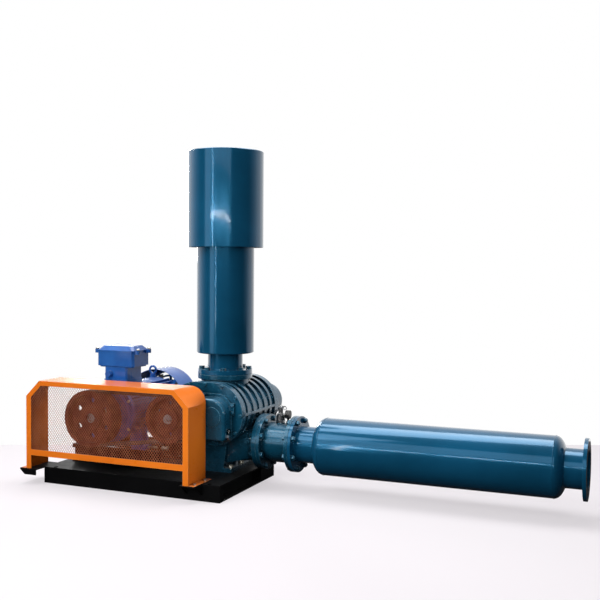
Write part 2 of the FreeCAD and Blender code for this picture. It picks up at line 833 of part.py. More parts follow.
def gear_cover():
    """Cover over the timing gears, an oil bath with a flange."""
    y0 = plate_back
    y1 = plate_back + gear_cover_depth
    half = rotor_centres / 2
    r = gear_cover_radius
    shell = stadium_y(half + r, r, y0, y1)
    rim = [e for e in shell.Edges if abs(e.CenterOfMass.y - y1) < 0.01]
    shell = shell.makeFillet(22, rim)
    flange = stadium_y(half + r + gear_cover_rim, r + gear_cover_rim, y0, y0 + cover_flange_thickness)
    solid = join([shell, flange])
    inner = stadium_y(half + r - cover_wall, r - cover_wall, y0 - 1, y1 - cover_wall)
    cuts = [inner]
    for x, z in gear_cover_points():
        cuts.append(rod_y(x, z, gear_cover_bolt_size / 2 + 0.5, y0 - 1, y0 + cover_flange_thickness + 1))
    cuts.append(rod_y(blower_x, shaft_height - 60, 12.3, y1 - 20, y1 + 1))
    cuts.append(rod_z(blower_x, y0 + 90, 12.3, shaft_height + r - 30, shaft_height + r + 1))
    cuts.append(rod_y(blower_x + 60, shaft_height - 92, 9.3, y1 - 20, y1 + 1))
    return solid.cut(cuts)


def oil_plugs():
    """Filler caps on top and drain plugs low down on both oil spaces."""
    y0 = plate_front - front_cover_depth
    y1 = plate_back + gear_cover_depth
    top = shaft_height + cover_top
    plugs = []
    stem = rod_z(blower_x, y0 + 50, 12, top - 14, top + 4)
    plugs.append(join([stem, prism(Vector(blower_x, y0 + 50, top), UP, 21, 14)]))
    roof = shaft_height + gear_cover_radius
    stem = rod_z(blower_x, plate_back + 90, 12, roof - 14, roof + 4)
    plugs.append(join([stem, prism(Vector(blower_x, plate_back + 90, roof), UP, 21, 16)]))
    side = blower_x + cover_half_width
    z = shaft_height - drain_drop
    stem = rod_x(y0 + 50, z, 9, side - 12, side + 2)
    plugs.append(join([stem, prism(Vector(side, y0 + 50, z), EAST, 15, 10)]))
    z = shaft_height - 92
    stem = rod_y(blower_x + 60, z, 9, y1 - 12, y1 + 2)
    plugs.append(join([stem, prism(Vector(blower_x + 60, y1, z), NORTH, 15, 10)]))
    return group(plugs)


def sight_glasses():
    """Oil level glasses in the front cover's side and the gear cover's back."""
    y0 = plate_front - front_cover_depth
    y1 = plate_back + gear_cover_depth
    side = blower_x + cover_half_width
    z = shaft_height - glass_drop
    first = join([rod_x(y0 + 50, z, 12, side - 12, side + 1), rod_x(y0 + 50, z, 19, side, side + 9)])
    z = shaft_height - 60
    second = join([rod_y(blower_x, z, 12, y1 - 12, y1 + 1), rod_y(blower_x, z, 19, y1, y1 + 9)])
    return group([first, second])


# Rotors and shafts

def cycloid_arc(x, y, start, outside):
    """One arch of the lobe profile, rolled outside or inside the pitch circle and set inwards.

    A point on a small circle that rolls round the pitch circle draws the arch; the clearance
    then moves each point into the metal, square to the arch.
    """
    side = 1 if outside else -1
    reach = pitch_radius + side * rolling_radius
    points = []
    for i in range(arch_points + 1):
        rolled = 2 * math.pi * i / arch_points
        a = start + rolled * rolling_radius / pitch_radius
        tracing = a + side * rolled
        middle = a + side * rolled / 2
        px = reach * math.cos(a) - side * rolling_radius * math.cos(tracing)
        pz = reach * math.sin(a) - side * rolling_radius * math.sin(tracing)
        px -= side * rotor_side_clearance * math.sin(middle)
        pz += side * rotor_side_clearance * math.cos(middle)
        points.append(Vector(x + px, y, shaft_height + pz))
    return points


def lobe_profile(x, y, turn):
    """Closed three-lobe outline; turn is the angle of the first lobe's tip in degrees."""
    step = 2 * math.pi * rolling_radius / pitch_radius
    first = math.radians(turn) - step / 2
    arches = []
    for i in range(2 * lobes):
        arches.append(cycloid_arc(x, y, first + step * i, i % 2 == 0))
    edges = []
    for i, points in enumerate(arches):
        points[0] = arches[i - 1][-1]
        curve = Part.BSplineCurve()
        curve.interpolate(points)
        edges.append(curve.toShape())
    return face_of(edges)


def rotor(x, turn):
    """Three-lobe rotor, bored for its shaft and cored through each lobe."""
    y0 = chamber_front + rotor_end_clearance
    length = chamber_length - 2 * rotor_end_clearance
    solid = lobe_profile(x, y0, turn).extrude(Vector(0, length, 0))
    cuts = [rod_y(x, shaft_height, rotor_seat_radius + fit, y0 - 1, y0 + length + 1)]
    for u, v in around(lobes, pitch_radius * 0.87, turn):
        cuts.append(rod_y(x + u, shaft_height + v, 22, y0 - 1, y0 + length + 1))
    return solid.cut(cuts)


def drive_rotor():
    """Rotor on the belt-driven shaft, one lobe pointing along +X."""
    return rotor(drive_x, 0.0)


def driven_rotor():
    """Rotor turned by the timing gears, one hollow facing the first rotor's lobe."""
    return rotor(driven_x, 0.0)


shaft_rear_end = gear_front + gear_width + 12.0


def drive_shaft():
    """Stepped shaft that carries the pulley, the rotor and its timing gear."""
    front = pulley_front + 12
    return turned_y(drive_x, shaft_height, [
        (front, drive_end_radius), (plate_front - front_cover_depth - 12, drive_end_radius),
        (plate_front - front_cover_depth - 12, shaft_radius),
        (chamber_front + rotor_end_clearance, shaft_radius),
        (chamber_front + rotor_end_clearance, rotor_seat_radius),
        (chamber_back - rotor_end_clearance, rotor_seat_radius),
        (chamber_back - rotor_end_clearance, shaft_radius), (shaft_rear_end, shaft_radius)])


def driven_shaft():
    """Stepped shaft of the second rotor."""
    front = plate_front - front_cover_depth + 26
    return turned_y(driven_x, shaft_height, [
        (front, shaft_radius), (chamber_front + rotor_end_clearance, shaft_radius),
        (chamber_front + rotor_end_clearance, rotor_seat_radius),
        (chamber_back - rotor_end_clearance, rotor_seat_radius),
        (chamber_back - rotor_end_clearance, shaft_radius), (shaft_rear_end, shaft_radius)])


def ring_y(x, z, outer, inner, y0, y1):
    """Plain ring along Y."""
    return rod_y(x, z, outer, y0, y1).cut(rod_y(x, z, inner, y0 - 1, y1 + 1))


def bearings():
    """Rolling bearings of both rotor shafts and of the motor shaft."""
    rings = []
    for x in (drive_x, driven_x):
        y = plate_front - bearing_boss_length + 1
        rings.append(ring_y(x, shaft_height, bearing_radius - fit, shaft_radius + running_fit,
                            y, y + bearing_width))
        y = plate_back + bearing_boss_length - 1
        rings.append(ring_y(x, shaft_height, bearing_radius - fit, shaft_radius + running_fit,
                            y - bearing_width, y))
    rings.append(ring_y(motor_x, motor_axis_height, 65 - fit, 33 + running_fit,
                        motor_shell_front - 32, motor_shell_front - 1))
    rings.append(ring_y(motor_x, motor_axis_height, 60 - fit, 33 + running_fit,
                        motor_shell_back + 1, motor_shell_back + 25))
    return group(rings)


def shaft_seals():
    """Seal rings in both wall plates and in the front cover's boss."""
    rings = []
    for x in (drive_x, driven_x):
        for y in (chamber_front - 22, chamber_back + 8):
            rings.append(ring_y(x, shaft_height, seal_radius - fit, shaft_radius + running_fit,
                                y, y + 14))
    y = plate_front - front_cover_depth
    rings.append(ring_y(drive_x, shaft_height, seal_radius - fit, shaft_radius + running_fit,
                        y - 6, y + 8))
    return group(rings)


def oil_slinger():
    """Disc on the driven shaft that dips into the front sump."""
    y = plate_front - front_cover_depth + 32
    disc = ring_y(driven_x, shaft_height, 68, shaft_radius + fit, y, y + 4)
    hub = ring_y(driven_x, shaft_height, 42, shaft_radius + fit, y, y + 18)
    return join([disc, hub])


# Timing gears

def involute(base, angle):
    """Point on the involute of a circle at a roll angle, before it is turned into place."""
    x = base * (math.cos(angle) + angle * math.sin(angle))
    z = base * (math.sin(angle) - angle * math.cos(angle))
    return x, z


def gear_face(x, y, teeth, phase):
    """Involute gear outline with straight root lands; phase turns it, in degrees."""
    module = rotor_centres / teeth
    pitch = rotor_centres / 2
    base = pitch * math.cos(pressure_angle)
    tip = pitch + 0.9 * module
    root = pitch - 1.2 * module
    roll_tip = math.sqrt((tip / base) ** 2 - 1)
    roll_pitch = math.sqrt((pitch / base) ** 2 - 1)
    px, pz = involute(base, roll_pitch)
    half_tooth = math.pi / (2 * teeth) - gear_backlash / (2 * pitch)
    lean = math.atan2(pz, px) + half_tooth
    edges = []
    flanks = []
    for i in range(teeth):
        centre = math.radians(phase) + 2 * math.pi * i / teeth
        right = []
        left = []
        for k in range(4):
            roll = roll_tip * k / 3
            u, v = involute(base, roll)
            radius = math.hypot(u, v)
            a = math.atan2(v, u) - lean
            right.append(Vector(x + radius * math.cos(centre + a), y,
                                shaft_height + radius * math.sin(centre + a)))
            left.append(Vector(x + radius * math.cos(centre - a), y,
                               shaft_height + radius * math.sin(centre - a)))
        foot = -lean
        right.insert(0, Vector(x + root * math.cos(centre + foot), y,
                               shaft_height + root * math.sin(centre + foot)))
        left.insert(0, Vector(x + root * math.cos(centre - foot), y,
                              shaft_height + root * math.sin(centre - foot)))
        flanks.append((right, left))
    points = []
    for right, left in flanks:
        points += right + left[::-1]
    for i in range(len(points)):
        edges.append(line(points[i], points[(i + 1) % len(points)]))
    return face_of(edges)


def timing_gear(x, phase):
    """Timing gear on the rear end of a rotor shaft, recessed on its outer face."""
    solid = gear_face(x, gear_front, gear_teeth, phase).extrude(Vector(0, gear_width, 0))
    bore = rod_y(x, shaft_height, shaft_radius + fit, gear_front - 1, gear_front + gear_width + 1)
    recess = ring_y(x, shaft_height, 74, 46, gear_front + gear_width - 18, gear_front + gear_width + 1)
    return solid.cut([bore, recess])


def drive_gear():
    """Gear on the drive shaft, one tooth on the line of centres."""
    return timing_gear(drive_x, 0.0)


def driven_gear():
    """Gear on the driven shaft, one gap on the line of centres."""
    return timing_gear(driven_x, 180.0 + 180.0 / gear_teeth)


# Belt drive

def groove_middle(i):
    """Y of the middle of belt i."""
    return pulley_front + pulley_side + i * belt_pitch


def pulley(x, z, radius, hub_front, hub_back, hub_radius, bore, holes, hole_radius):
    """Grooved pulley with a pierced web and a hub bored for its bush."""
    rim_inner = radius - belt_height - rim_thickness
    half = belt_top_width / 2 + 0.6
    low = belt_bottom_width / 2 + 0.2
    deep = belt_height + 1.5
    profile = [Vector(x + rim_inner, pulley_front, z), Vector(x + radius, pulley_front, z)]
    for i in range(belt_count):
        y = groove_middle(i)
        profile += [Vector(x + radius, y - half, z), Vector(x + radius - deep, y - low, z),
                    Vector(x + radius - deep, y + low, z), Vector(x + radius, y + half, z)]
    profile += [Vector(x + radius, pulley_back, z), Vector(x + rim_inner, pulley_back, z)]
    rim = revolved(profile, Vector(x, 0, z), NORTH)
    web_y = (pulley_front + pulley_back) / 2
    web = ring_y(x, z, rim_inner + 1, hub_radius - 1, web_y - web_thickness / 2,
                 web_y + web_thickness / 2)
    hub = ring_y(x, z, hub_radius, bore, hub_front, hub_back)
    solid = join([rim, web, hub])
    middle = (rim_inner + hub_radius) / 2
    cuts = []
    for u, v in around(holes, middle, 90):
        cuts.append(rod_y(x + u, z + v, hole_radius, web_y - 20, web_y + 20))
    return solid.cut(cuts)


hub_wall = 22.0
bush_wall = 16.0


def blower_pulley():
    """Pulley on the blower's drive shaft."""
    bore = drive_end_radius + bush_wall
    return pulley(drive_x, shaft_height, blower_pulley_radius, pulley_front + 14, pulley_back - 4,
                  bore + hub_wall, bore, 6, 11)


def motor_pulley():
    """Pulley on the motor shaft."""
    bore = motor_shaft_radius + bush_wall
    return pulley(motor_x, motor_axis_height, motor_pulley_radius, pulley_front + 20,
                  pulley_back - 4, bore + hub_wall, bore, 6, 16)


def pulley_bush(x, z, radius, hub_front, hub_back):
    """Split bush that grips the shaft inside a hub."""
    ring = ring_y(x, z, radius + bush_wall - fit, radius + fit, hub_front + 2, hub_back - 6)
    slit = box(x + radius - 2, x + radius + bush_wall + 2, hub_front, hub_back, z - 1.5, z + 1.5)
    return ring.cut(slit)


def blower_bush():
    """Bush of the blower pulley."""
    return pulley_bush(drive_x, shaft_height, drive_end_radius, pulley_front + 14, pulley_back - 4)


def motor_bush():
    """Bush of the motor pulley."""
    return pulley_bush(motor_x, motor_axis_height, motor_shaft_radius, pulley_front + 20,
                       pulley_back - 4)


def belt_outline(r1, r2, y):
    """Face inside the open belt loop that touches circles r1 on the motor and r2 on the blower."""
    a = Vector(motor_x, y, motor_axis_height)
    b = Vector(drive_x, y, shaft_height)
    span = b - a
    distance = span.Length
    lean = math.atan2(span.z, span.x)
    wrap = math.acos((r1 - r2) / distance)

    def on(centre, radius, angle):
        return centre + Vector(radius * math.cos(angle), 0, radius * math.sin(angle))

    a_top = on(a, r1, lean + wrap)
    a_low = on(a, r1, lean - wrap)
    b_top = on(b, r2, lean + wrap)
    b_low = on(b, r2, lean - wrap)
    edges = [line(a_top, b_top), arc(b_top, on(b, r2, lean), b_low), line(b_low, a_low),
             arc(a_low, on(a, r1, lean + math.pi), a_top)]
    return Part.Wire(edges)


def v_belt(i):
    """One belt: a loop whose two sides lean in towards the bottom of the groove."""
    y = groove_middle(i)
    top = belt_top_width / 2
    low = belt_bottom_width / 2
    r1 = motor_pulley_radius - 0.5
    r2 = blower_pulley_radius - 0.5
    d = belt_height
    front = Part.makeLoft([belt_outline(r1, r2, y - top), belt_outline(r1 - d, r2 - d, y - low)],
                          False, True)
    back = Part.makeLoft([belt_outline(r1, r2, y + top), belt_outline(r1 - d, r2 - d, y + low)],
                         False, True)
    outer = Part.makeLoft([belt_outline(r1, r2, y - top), belt_outline(r1, r2, y + top)],
                          False, True)
    inner = Part.makeLoft([belt_outline(r1 - d, r2 - d, y - low),
                           belt_outline(r1 - d, r2 - d, y + low)], False, True)
    faces = front.Faces + back.Faces + outer.Faces + inner.Faces
    shell = Part.Shell(faces)
    solid = Part.Solid(shell)
    if solid.Volume < 0:
        solid.reverse()
    return solid


def v_belts():
    """All the belts."""
    return group([v_belt(i) for i in range(belt_count)])


# Motor

def motor_frame():
    """Finned frame with cast feet and the pad for the terminal box."""
    x = motor_x
    z = motor_axis_height
    y0 = motor_shell_front
    y1 = motor_shell_back
    r = motor_shell_radius
    pieces = [rod_y(x, z, r, y0, y1)]
    for u, v in around(fin_count, 1.0, 180.0 / fin_count):
        angle = math.degrees(math.atan2(v, u))
        if 58 < angle < 122 or -152 < angle < -28:
            continue
        fin = box(x + r - 3, x + r + fin_height, y0 + 14, y1 - 2, z - fin_thickness / 2,
                  z + fin_thickness / 2)
        fin.rotate(Vector(x, 0, z), NORTH, -angle)
        pieces.append(fin)
    pieces.append(ring_y(x, z, r + 12, r - 5, y0, y0 + 14))
    pieces.append(rod_z(x, box_y + eye_offset, 22, z + r - 10, z + r + 8))
    pieces.append(box(x - neck_width / 2, x + neck_width / 2, box_y - neck_depth / 2,
                      box_y + neck_depth / 2, z + 120, z + r + 34))
    base = motor_foot_height
    for side in (-1, 1):
        for y in rail_y_places():
            outer = x + side * motor_foot_reach
            inner = x + side * 120
            pad = box(min(outer, inner), max(outer, inner), y - motor_foot_width / 2,
                      y + motor_foot_width / 2, base, base + 24)
            pieces.append(pad)
            for offset in (-motor_foot_width / 2 + 2, motor_foot_width / 2 - 16):
                w = y + offset
                web = polygon([Vector(x + side * (motor_foot_reach - 12), w, base + 20),
                               Vector(x + side * 110, w, base + 20),
                               Vector(x + side * 110, w, z - 60),
                               Vector(x + side * 168, w, z - 20)])
                pieces.append(web.extrude(Vector(0, 14, 0)))
    solid = join(pieces)
    cuts = [rod_y(x, z, r - motor_shell_wall, y0 - 1, y1 + 1)]
    cuts.append(box(x - 60, x + 60, box_y - 50, box_y + 50, z + 100, z + r + 40))
    for point in motor_foot_places():
        cuts.append(rod_z(point.x, point.y, motor_bolt_size / 2 + 1, base - 1, base + 30))
    return solid.cut(cuts)


def motor_foot_places():
    """Bolts of the motor feet, on top of the feet."""
    places = []
    for side in (-1, 1):
        for y in rail_y_places():
            places.append(Vector(motor_x + side * foot_spacing_x / 2, y, motor_foot_height + 24))
    return places


def shield_bolt_points(radius):
    """Six bolt places on a motor end shield, as (x, z)."""
    return [(motor_x + u, motor_axis_height + v) for u, v in around(6, radius, 30)]


def motor_front_shield():
    """Drive-end shield: rim, dished web and bearing nose."""
    x = motor_x
    z = motor_axis_height
    r = motor_shell_radius + 12
    solid = turned_y(x, z, [(motor_shoulder + 3, 62), (motor_shoulder + 9, 78),
                            (motor_front_face - 2, 84), (motor_front_face, r - 34),
                            (motor_front_face + 8, r - 26), (motor_front_face + 8, r),
                            (motor_shell_front, r)])
    cuts = [rod_y(x, z, 34, motor_shoulder, motor_shell_front + 1),
            rod_y(x, z, 65, motor_front_face - 10, motor_shell_front + 1)]
    for px, pz in shield_bolt_points(r - 10):
        cuts.append(rod_y(px, pz, 5.5, motor_front_face - 1, motor_shell_front + 1))
    return solid.cut(cuts)


def motor_rear_shield():
    """Fan-end shield."""
    x = motor_x
    z = motor_axis_height
    y1 = motor_back_shield
    solid = turned_y(x, z, [(motor_shell_back, motor_shell_radius), (y1 - 6, motor_shell_radius),
                            (y1, motor_shell_radius - 20), (y1 + 16, 80)])
    cuts = [rod_y(x, z, 34, motor_shell_back - 1, y1 + 20),
            rod_y(x, z, 60, motor_shell_back - 1, y1 + 8)]
    return solid.cut(cuts)


def motor_fasteners():
    """Bolts of the feet and of the drive-end shield, and the screws of the terminal lid."""
    bolts = []
    for point in motor_foot_places():
        bolts.append(bolt(point, DOWN, motor_bolt_size, 24 + 26))
    for x, z in shield_bolt_points(motor_shell_radius + 2):
        seat = Vector(x, motor_front_face + 8, z)
        bolts.append(bolt(seat, NORTH, 10.0, motor_shell_front - motor_front_face - 9))
    for x, y in lid_ear_places():
        bolts.append(bolt(Vector(x, y, box_top + 10), DOWN, lid_bolt_size, 20.0))
    return group(bolts)


def fan_cowl():
    """Pressed cowl over the fan with a slotted back, held off the frame so that air passes."""
    x = motor_x
    z = motor_axis_height
    r = cowl_radius
    outer = turned_y(x, z, [(cowl_front, r), (cowl_back - 14, r), (cowl_back - 4, r - 4),
                            (cowl_back, r - 14)])
    inner = turned_y(x, z, [(cowl_front - 1, r - cowl_wall), (cowl_back - 14, r - cowl_wall),
                            (cowl_back - 5, r - 6), (cowl_back - cowl_wall, r - 16)])
    shell = outer.cut(inner)
    cuts = []
    for ring in (70, 105, 140, 172):
        for u, v in around(8, 1.0, 22.5):
            angle = math.degrees(math.atan2(v, u))
            slot = ring_y(x, z, ring + 9, ring - 9, cowl_back - 6, cowl_back + 2)
            wedge = wedge_y(x, z, cowl_radius + 40, angle, 16 + 340.0 / ring, cowl_back - 7, cowl_back + 3)
            cuts.append(slot.common(wedge))
    tabs = []
    for u, v in around(4, 1.0, 45):
        angle = math.degrees(math.atan2(v, u))
        tab = box(x + motor_shell_radius + fit, x + r - 1, cowl_front + 1, cowl_front + 9,
                  z - 12, z + 12)
        tab.rotate(Vector(x, 0, z), NORTH, -angle)
        tabs.append(tab)
    return join([shell.cut(cuts)] + tabs)


def wedge_y(x, z, reach, middle, half_angle, y0, y1):
    """Pie slice about an axis along Y, for slots."""
    a = math.radians(middle - half_angle)
    b = math.radians(middle + half_angle)
    return polygon([Vector(x, y0, z), Vector(x + reach * math.cos(a), y0, z + reach * math.sin(a)),
                    Vector(x + reach * math.cos(b), y0, z + reach * math.sin(b))]
                   ).extrude(Vector(0, y1 - y0, 0))


def cooling_fan():
    """Fan on the motor shaft: disc, hub and straight blades."""
    x = motor_x
    z = motor_axis_height
    y = motor_back_shield + 26
    disc = ring_y(x, z, 150, 28, y, y + 5)
    hub = ring_y(x, z, 44, 28 + fit, y, y + 42)
    pieces = [disc, hub]
    for u, v in around(8, 1.0, 0):
        angle = math.degrees(math.atan2(v, u))
        blade = box(x + 42, x + 178, y + 3, y + 62, z - 2.5, z + 2.5)
        blade.rotate(Vector(x, 0, z), NORTH, -angle)
        pieces.append(blade)
    bore = rod_y(x, z, 28 + fit, y - 1, y + 70)
    return join(pieces).cut(bore)


def motor_shaft():
    """Motor shaft with its drive end, core seat and fan end."""
    return turned_y(motor_x, motor_axis_height, [
        (motor_shoulder - motor_shaft_length, motor_shaft_radius), (motor_shoulder, motor_shaft_radius),
        (motor_shoulder, 33), (-185, 33), (-185, 40), (255, 40), (255, 33),
        (motor_back_shield + 20, 33), (motor_back_shield + 20, 28), (motor_back_shield + 72, 28)])


def motor_core():
    """Laminated rotor core on the motor shaft."""
    return ring_y(motor_x, motor_axis_height, motor_core_radius, 40 + fit, core_front, core_back)


def stator_core():
    """Laminated stator with its end windings, fixed in the frame."""
    x = motor_x
    z = motor_axis_height
    core = ring_y(x, z, stator_radius - fit, motor_core_radius + core_air_gap, core_front, core_back)
    windings = []
    for y0, y1 in ((core_front - winding_length, core_front + 1),
                   (core_back - 1, core_back + winding_length)):
        windings.append(ring_y(x, z, stator_radius - 6, motor_core_radius + 4, y0, y1))
    return join([core] + windings)


# Terminal box

def lid_ear_places():
    """Middles of the four lid ears, as (x, y)."""
    reach_x = box_width / 2 + ear_reach
    reach_y = box_depth / 2 - 30
    return [(motor_x + sx * reach_x, box_y + sy * reach_y) for sx in (-1, 1) for sy in (-1, 1)]


def lid_ears(z0, z1):
    """Four ears with round ends between two heights."""
    ears = []
    for x, y in lid_ear_places():
        root = x - math.copysign(ear_reach + 3, x - motor_x)
        ears.append(box(min(root, x), max(root, x), y - ear_radius, y + ear_radius, z0, z1))
        ears.append(rod_z(x, y, ear_radius, z0, z1))
    return ears


def bevelled_block(half_x, half_y, corner, z0, z1, top_inset=0.0):
    """Block with cut corners, drawn in towards the top by an inset."""
    def outline(hx, hy, c, z):
        x = motor_x
        y = box_y
        points = [Vector(x - hx + c, y - hy, z), Vector(x + hx - c, y - hy, z),
                  Vector(x + hx, y - hy + c, z), Vector(x + hx, y + hy - c, z),
                  Vector(x + hx - c, y + hy, z), Vector(x - hx + c, y + hy, z),
                  Vector(x - hx, y + hy - c, z), Vector(x - hx, y - hy + c, z)]
        return Part.makePolygon(points + [points[0]])
    lower = outline(half_x, half_y, corner, z0)
    upper = outline(half_x - top_inset, half_y - top_inset, corner, z1)
    return Part.makeLoft([lower, upper], True, True)


def terminal_box():
    """Cast box on a square neck, hollow, with a cable entry boss."""
    hx = box_width / 2
    hy = box_depth / 2
    neck_foot = motor_axis_height + motor_shell_radius + 34
    body = bevelled_block(hx, hy, 14, box_bottom + 8, box_top)
    skirt = bevelled_block(hx - 10, hy - 10, 14, box_bottom, box_bottom + 9)
    neck = bevelled_block(neck_width / 2, neck_depth / 2, 10, neck_foot, box_bottom + 1)
    front = box_y - neck_depth / 2
    boss = rod_y(motor_x - 40, neck_foot + 34, 22, front - 16, front + 4)
    solid = join([body, skirt, neck, boss] + lid_ears(box_top - 14, box_top))
    cavity = bevelled_block(hx - 8, hy - 8, 10, box_bottom + 16, box_top + 1)
    throat = box(motor_x - 55, motor_x + 55, box_y - 45, box_y + 45, neck_foot - 1, box_bottom + 20)
    entry = rod_y(motor_x - 40, neck_foot + 34, 12.3, front - 17, box_y)
    cuts = [cavity, throat, entry]
    tapping = lid_bolt_size / 2 + 0.4
    cuts += [rod_z(x, y, tapping, box_top - 15, box_top + 1) for x, y in lid_ear_places()]
    return solid.cut(cuts)


def terminal_lid():
    """Lid with sloping sides and four ears."""
    hx = box_width / 2
    hy = box_depth / 2
    rim = bevelled_block(hx + 3, hy + 3, 15, box_top + 0.2, box_top + 8)
    dome = bevelled_block(hx - 2, hy - 2, 15, box_top + 7, box_top + lid_height, lid_bevel)
    holes = []
    for x, y in lid_ear_places():
        holes.append(rod_z(x, y, lid_bolt_size / 2 + 0.4, box_top - 1, box_top + 40))
        holes.append(rod_z(x, y, lid_bolt_size + 1, box_top + 10, box_top + 40))
    cavity = bevelled_block(hx - 8, hy - 8, 10, box_top - 1, box_top + 6)
    return join([rim, dome] + lid_ears(box_top + 0.2, box_top + 10)).cut([cavity] + holes)


def entry_plug():
    """Blanking plug in the cable entry."""
    z = motor_axis_height + motor_shell_radius + 34 + 34
    y = box_y - neck_depth / 2 - 16
    stem = rod_y(motor_x - 40, z, 12, y - 1, y + 18)
    return join([stem, prism(Vector(motor_x - 40, y, z), SOUTH, 21, 11)])


def lifting_eye():
    """Lifting eye screwed into the top of the motor frame."""
    x = motor_x
    y = box_y + eye_offset
    z = motor_axis_height + motor_shell_radius + 8
    ring = Part.makeTorus(24, 7, Vector(x, y, z + 42), NORTH)
    collar = rod_z(x, y, 19, z, z + 16)
    return join([ring, collar])


# Belt guard

def guard_edges(y, inset, rounded):
    """Left, top and right run of the guard outline; the corners are straight or round."""
    x0 = guard_left + inset
    x1 = guard_right - inset
    z0 = skid_height
    z1 = guard_top - inset
    c = guard_corner - inset * 0.6
    k = 1 - math.sqrt(0.5)
    left_low = Vector(x0, y, z0)
    left_high = Vector(x0, y, z1 - c)
    top_left = Vector(x0 + c, y, z1)
    top_right = Vector(x1 - c, y, z1)
    right_high = Vector(x1, y, z1 - c)
    right_low = Vector(x1, y, z0)
    if rounded:
        left_corner = arc(left_high, Vector(x0 + c * k, y, z1 - c * k), top_left)
        right_corner = arc(top_right, Vector(x1 - c * k, y, z1 - c * k), right_high)
    else:
        left_corner = line(left_high, top_left)
        right_corner = line(top_right, right_high)
    return [line(left_low, left_high), left_corner, line(top_left, top_right), right_corner,
            line(right_high, right_low), line(right_low, left_low)]


def guard_solid(inset, y0, y1):
    """Filled guard shape: cut corners at the front run into round ones at the back."""
    front = Part.Wire(guard_edges(y0, inset, False))
    back = Part.Wire(guard_edges(y1, inset, True))
    return Part.makeLoft([front, back], True, True)


def guard_foot_places():
    """Bolts through the guard's feet."""
    places = []
    for x in (guard_left - guard_foot / 2, guard_right + guard_foot / 2):
        for y in (guard_front + 40, guard_back - 40):
            places.append(Vector(x, y, skid_height + guard_sheet))
    return places


def guard_shell():
    """Folded sheet over the belts, open at the back, with feet turned outwards."""
    y0 = guard_front + guard_sheet
    outer = guard_solid(0, y0, guard_back)
    inner = guard_solid(guard_sheet, y0, guard_back)
    shell = outer.cut(inner)
    z0 = skid_height
    base = box(guard_left + guard_sheet, guard_right - guard_sheet, y0 - 1, guard_back + 1,
               z0 - 1, z0 + 1)
    shell = shell.cut(base)
    left = box(guard_left - guard_foot, guard_left + 1, y0, guard_back, z0, z0 + guard_sheet)
    right = box(guard_right - 1, guard_right + guard_foot, y0, guard_back, z0, z0 + guard_sheet)
    holes = [rod_z(p.x, p.y, 5.5, z0 - 1, z0 + 10) for p in guard_foot_places()]
    return join([shell, left, right]).cut(holes)


def guard_front_frame():
    """Front border with its legs and the window for the mesh."""
    y0 = guard_front
    plate = Part.Face(Part.Wire(guard_edges(y0, 0, False))).extrude(Vector(0, guard_sheet, 0))
    b = guard_border
    x0 = guard_left + b
    x1 = guard_right - b
    top = guard_top - 30
    c = guard_corner - 24
    window = polygon([Vector(x0, y0 - 1, guard_rail_top), Vector(x0, y0 - 1, top - c),
                      Vector(x0 + c, y0 - 1, top), Vector(x1 - c, y0 - 1, top),
                      Vector(x1, y0 - 1, top - c), Vector(x1, y0 - 1, guard_rail_top)])
    under = box(x0, x1, y0 - 1, y0 + 10, skid_height - 1, guard_rail_bottom)
    return plate.cut([window.extrude(Vector(0, 10, 0)), under])


def guard_mesh():
    """Mesh panel behind the window, as a coarse grid of openings."""
    y0 = guard_front + guard_sheet
    lap = 16.0
    x0 = guard_left + guard_border
    x1 = guard_right - guard_border
    z0 = guard_rail_top
    z1 = guard_top - 30
    c = guard_corner - 18

    def panel(reach, y, depth):
        """Panel outline grown by a reach past the window."""
        left = x0 - reach
        right = x1 + reach
        low = z0 - reach
        high = z1 + reach
        face = polygon([Vector(left, y, low), Vector(left, y, high - c), Vector(left + c, y, high),
                        Vector(right - c, y, high), Vector(right, y, high - c),
                        Vector(right, y, low)])
        return face.extrude(Vector(0, depth, 0))

    pitch_x = (x1 - x0) / mesh_columns
    pitch_z = (z1 - z0) / mesh_rows
    cells = []
    for i in range(mesh_columns):
        for k in range(mesh_rows):
            x = x0 + i * pitch_x
            z = z0 + k * pitch_z
            cells.append(box(x + mesh_bar / 2, x + pitch_x - mesh_bar / 2, y0 - 1, y0 + 5,
                             z + mesh_bar / 2, z + pitch_z - mesh_bar / 2))
    window = panel(-mesh_bar / 2, y0 - 1, 6)
    sheet = panel(lap, y0, mesh_thickness)
    return sheet.cut([cell.common(window) for cell in cells])


def guard_bolts():
    """Bolts through the guard's feet."""
    return group([bolt(p, DOWN, 10.0, 8.0) for p in guard_foot_places()])


# Inlet silencer

def inlet_drum():
    """Drum on its neck and flange, open at the top under the hood."""
    c = Vector(blower_x, blower_y, 0)
    neck_top = drum_bottom + 60
    top = inlet_face + port_flange_thickness
    flange = pipe_flange(Vector(c.x, c.y, inlet_face), UP, port_flange_thickness,
                         pipe_radius - pipe_wall, port_hole_radius)
    neck = rod_z(c.x, c.y, pipe_radius, top - 1, neck_top)
    drum = rod_z(c.x, c.y, drum_radius, drum_bottom, drum_top)
    rim = [e for e in drum.Edges if abs(e.CenterOfMass.z - drum_bottom) < 0.01]
    drum = drum.makeFillet(8, rim)
    hollow = rod_z(c.x, c.y, drum_radius - drum_wall, drum_bottom + drum_wall, drum_top + 1)
    shell = join([drum.cut(hollow), neck])
    bore = rod_z(c.x, c.y, pipe_radius - pipe_wall, top - 2, neck_top + 1)
    return join([shell.cut(bore), flange])


def inlet_core():
    """Perforated inner tube of the inlet silencer with its end plate."""
    r = pipe_radius
    tube = rod_z(blower_x, blower_y, r + 10, drum_bottom + drum_wall + 20, drum_top - 20)
    bore = rod_z(blower_x, blower_y, r + 7, drum_bottom, drum_top)
    top = rod_z(blower_x, blower_y, drum_radius - drum_wall - seat_gap, drum_top - 24, drum_top - 20)
    return join([tube, top]).cut(bore)


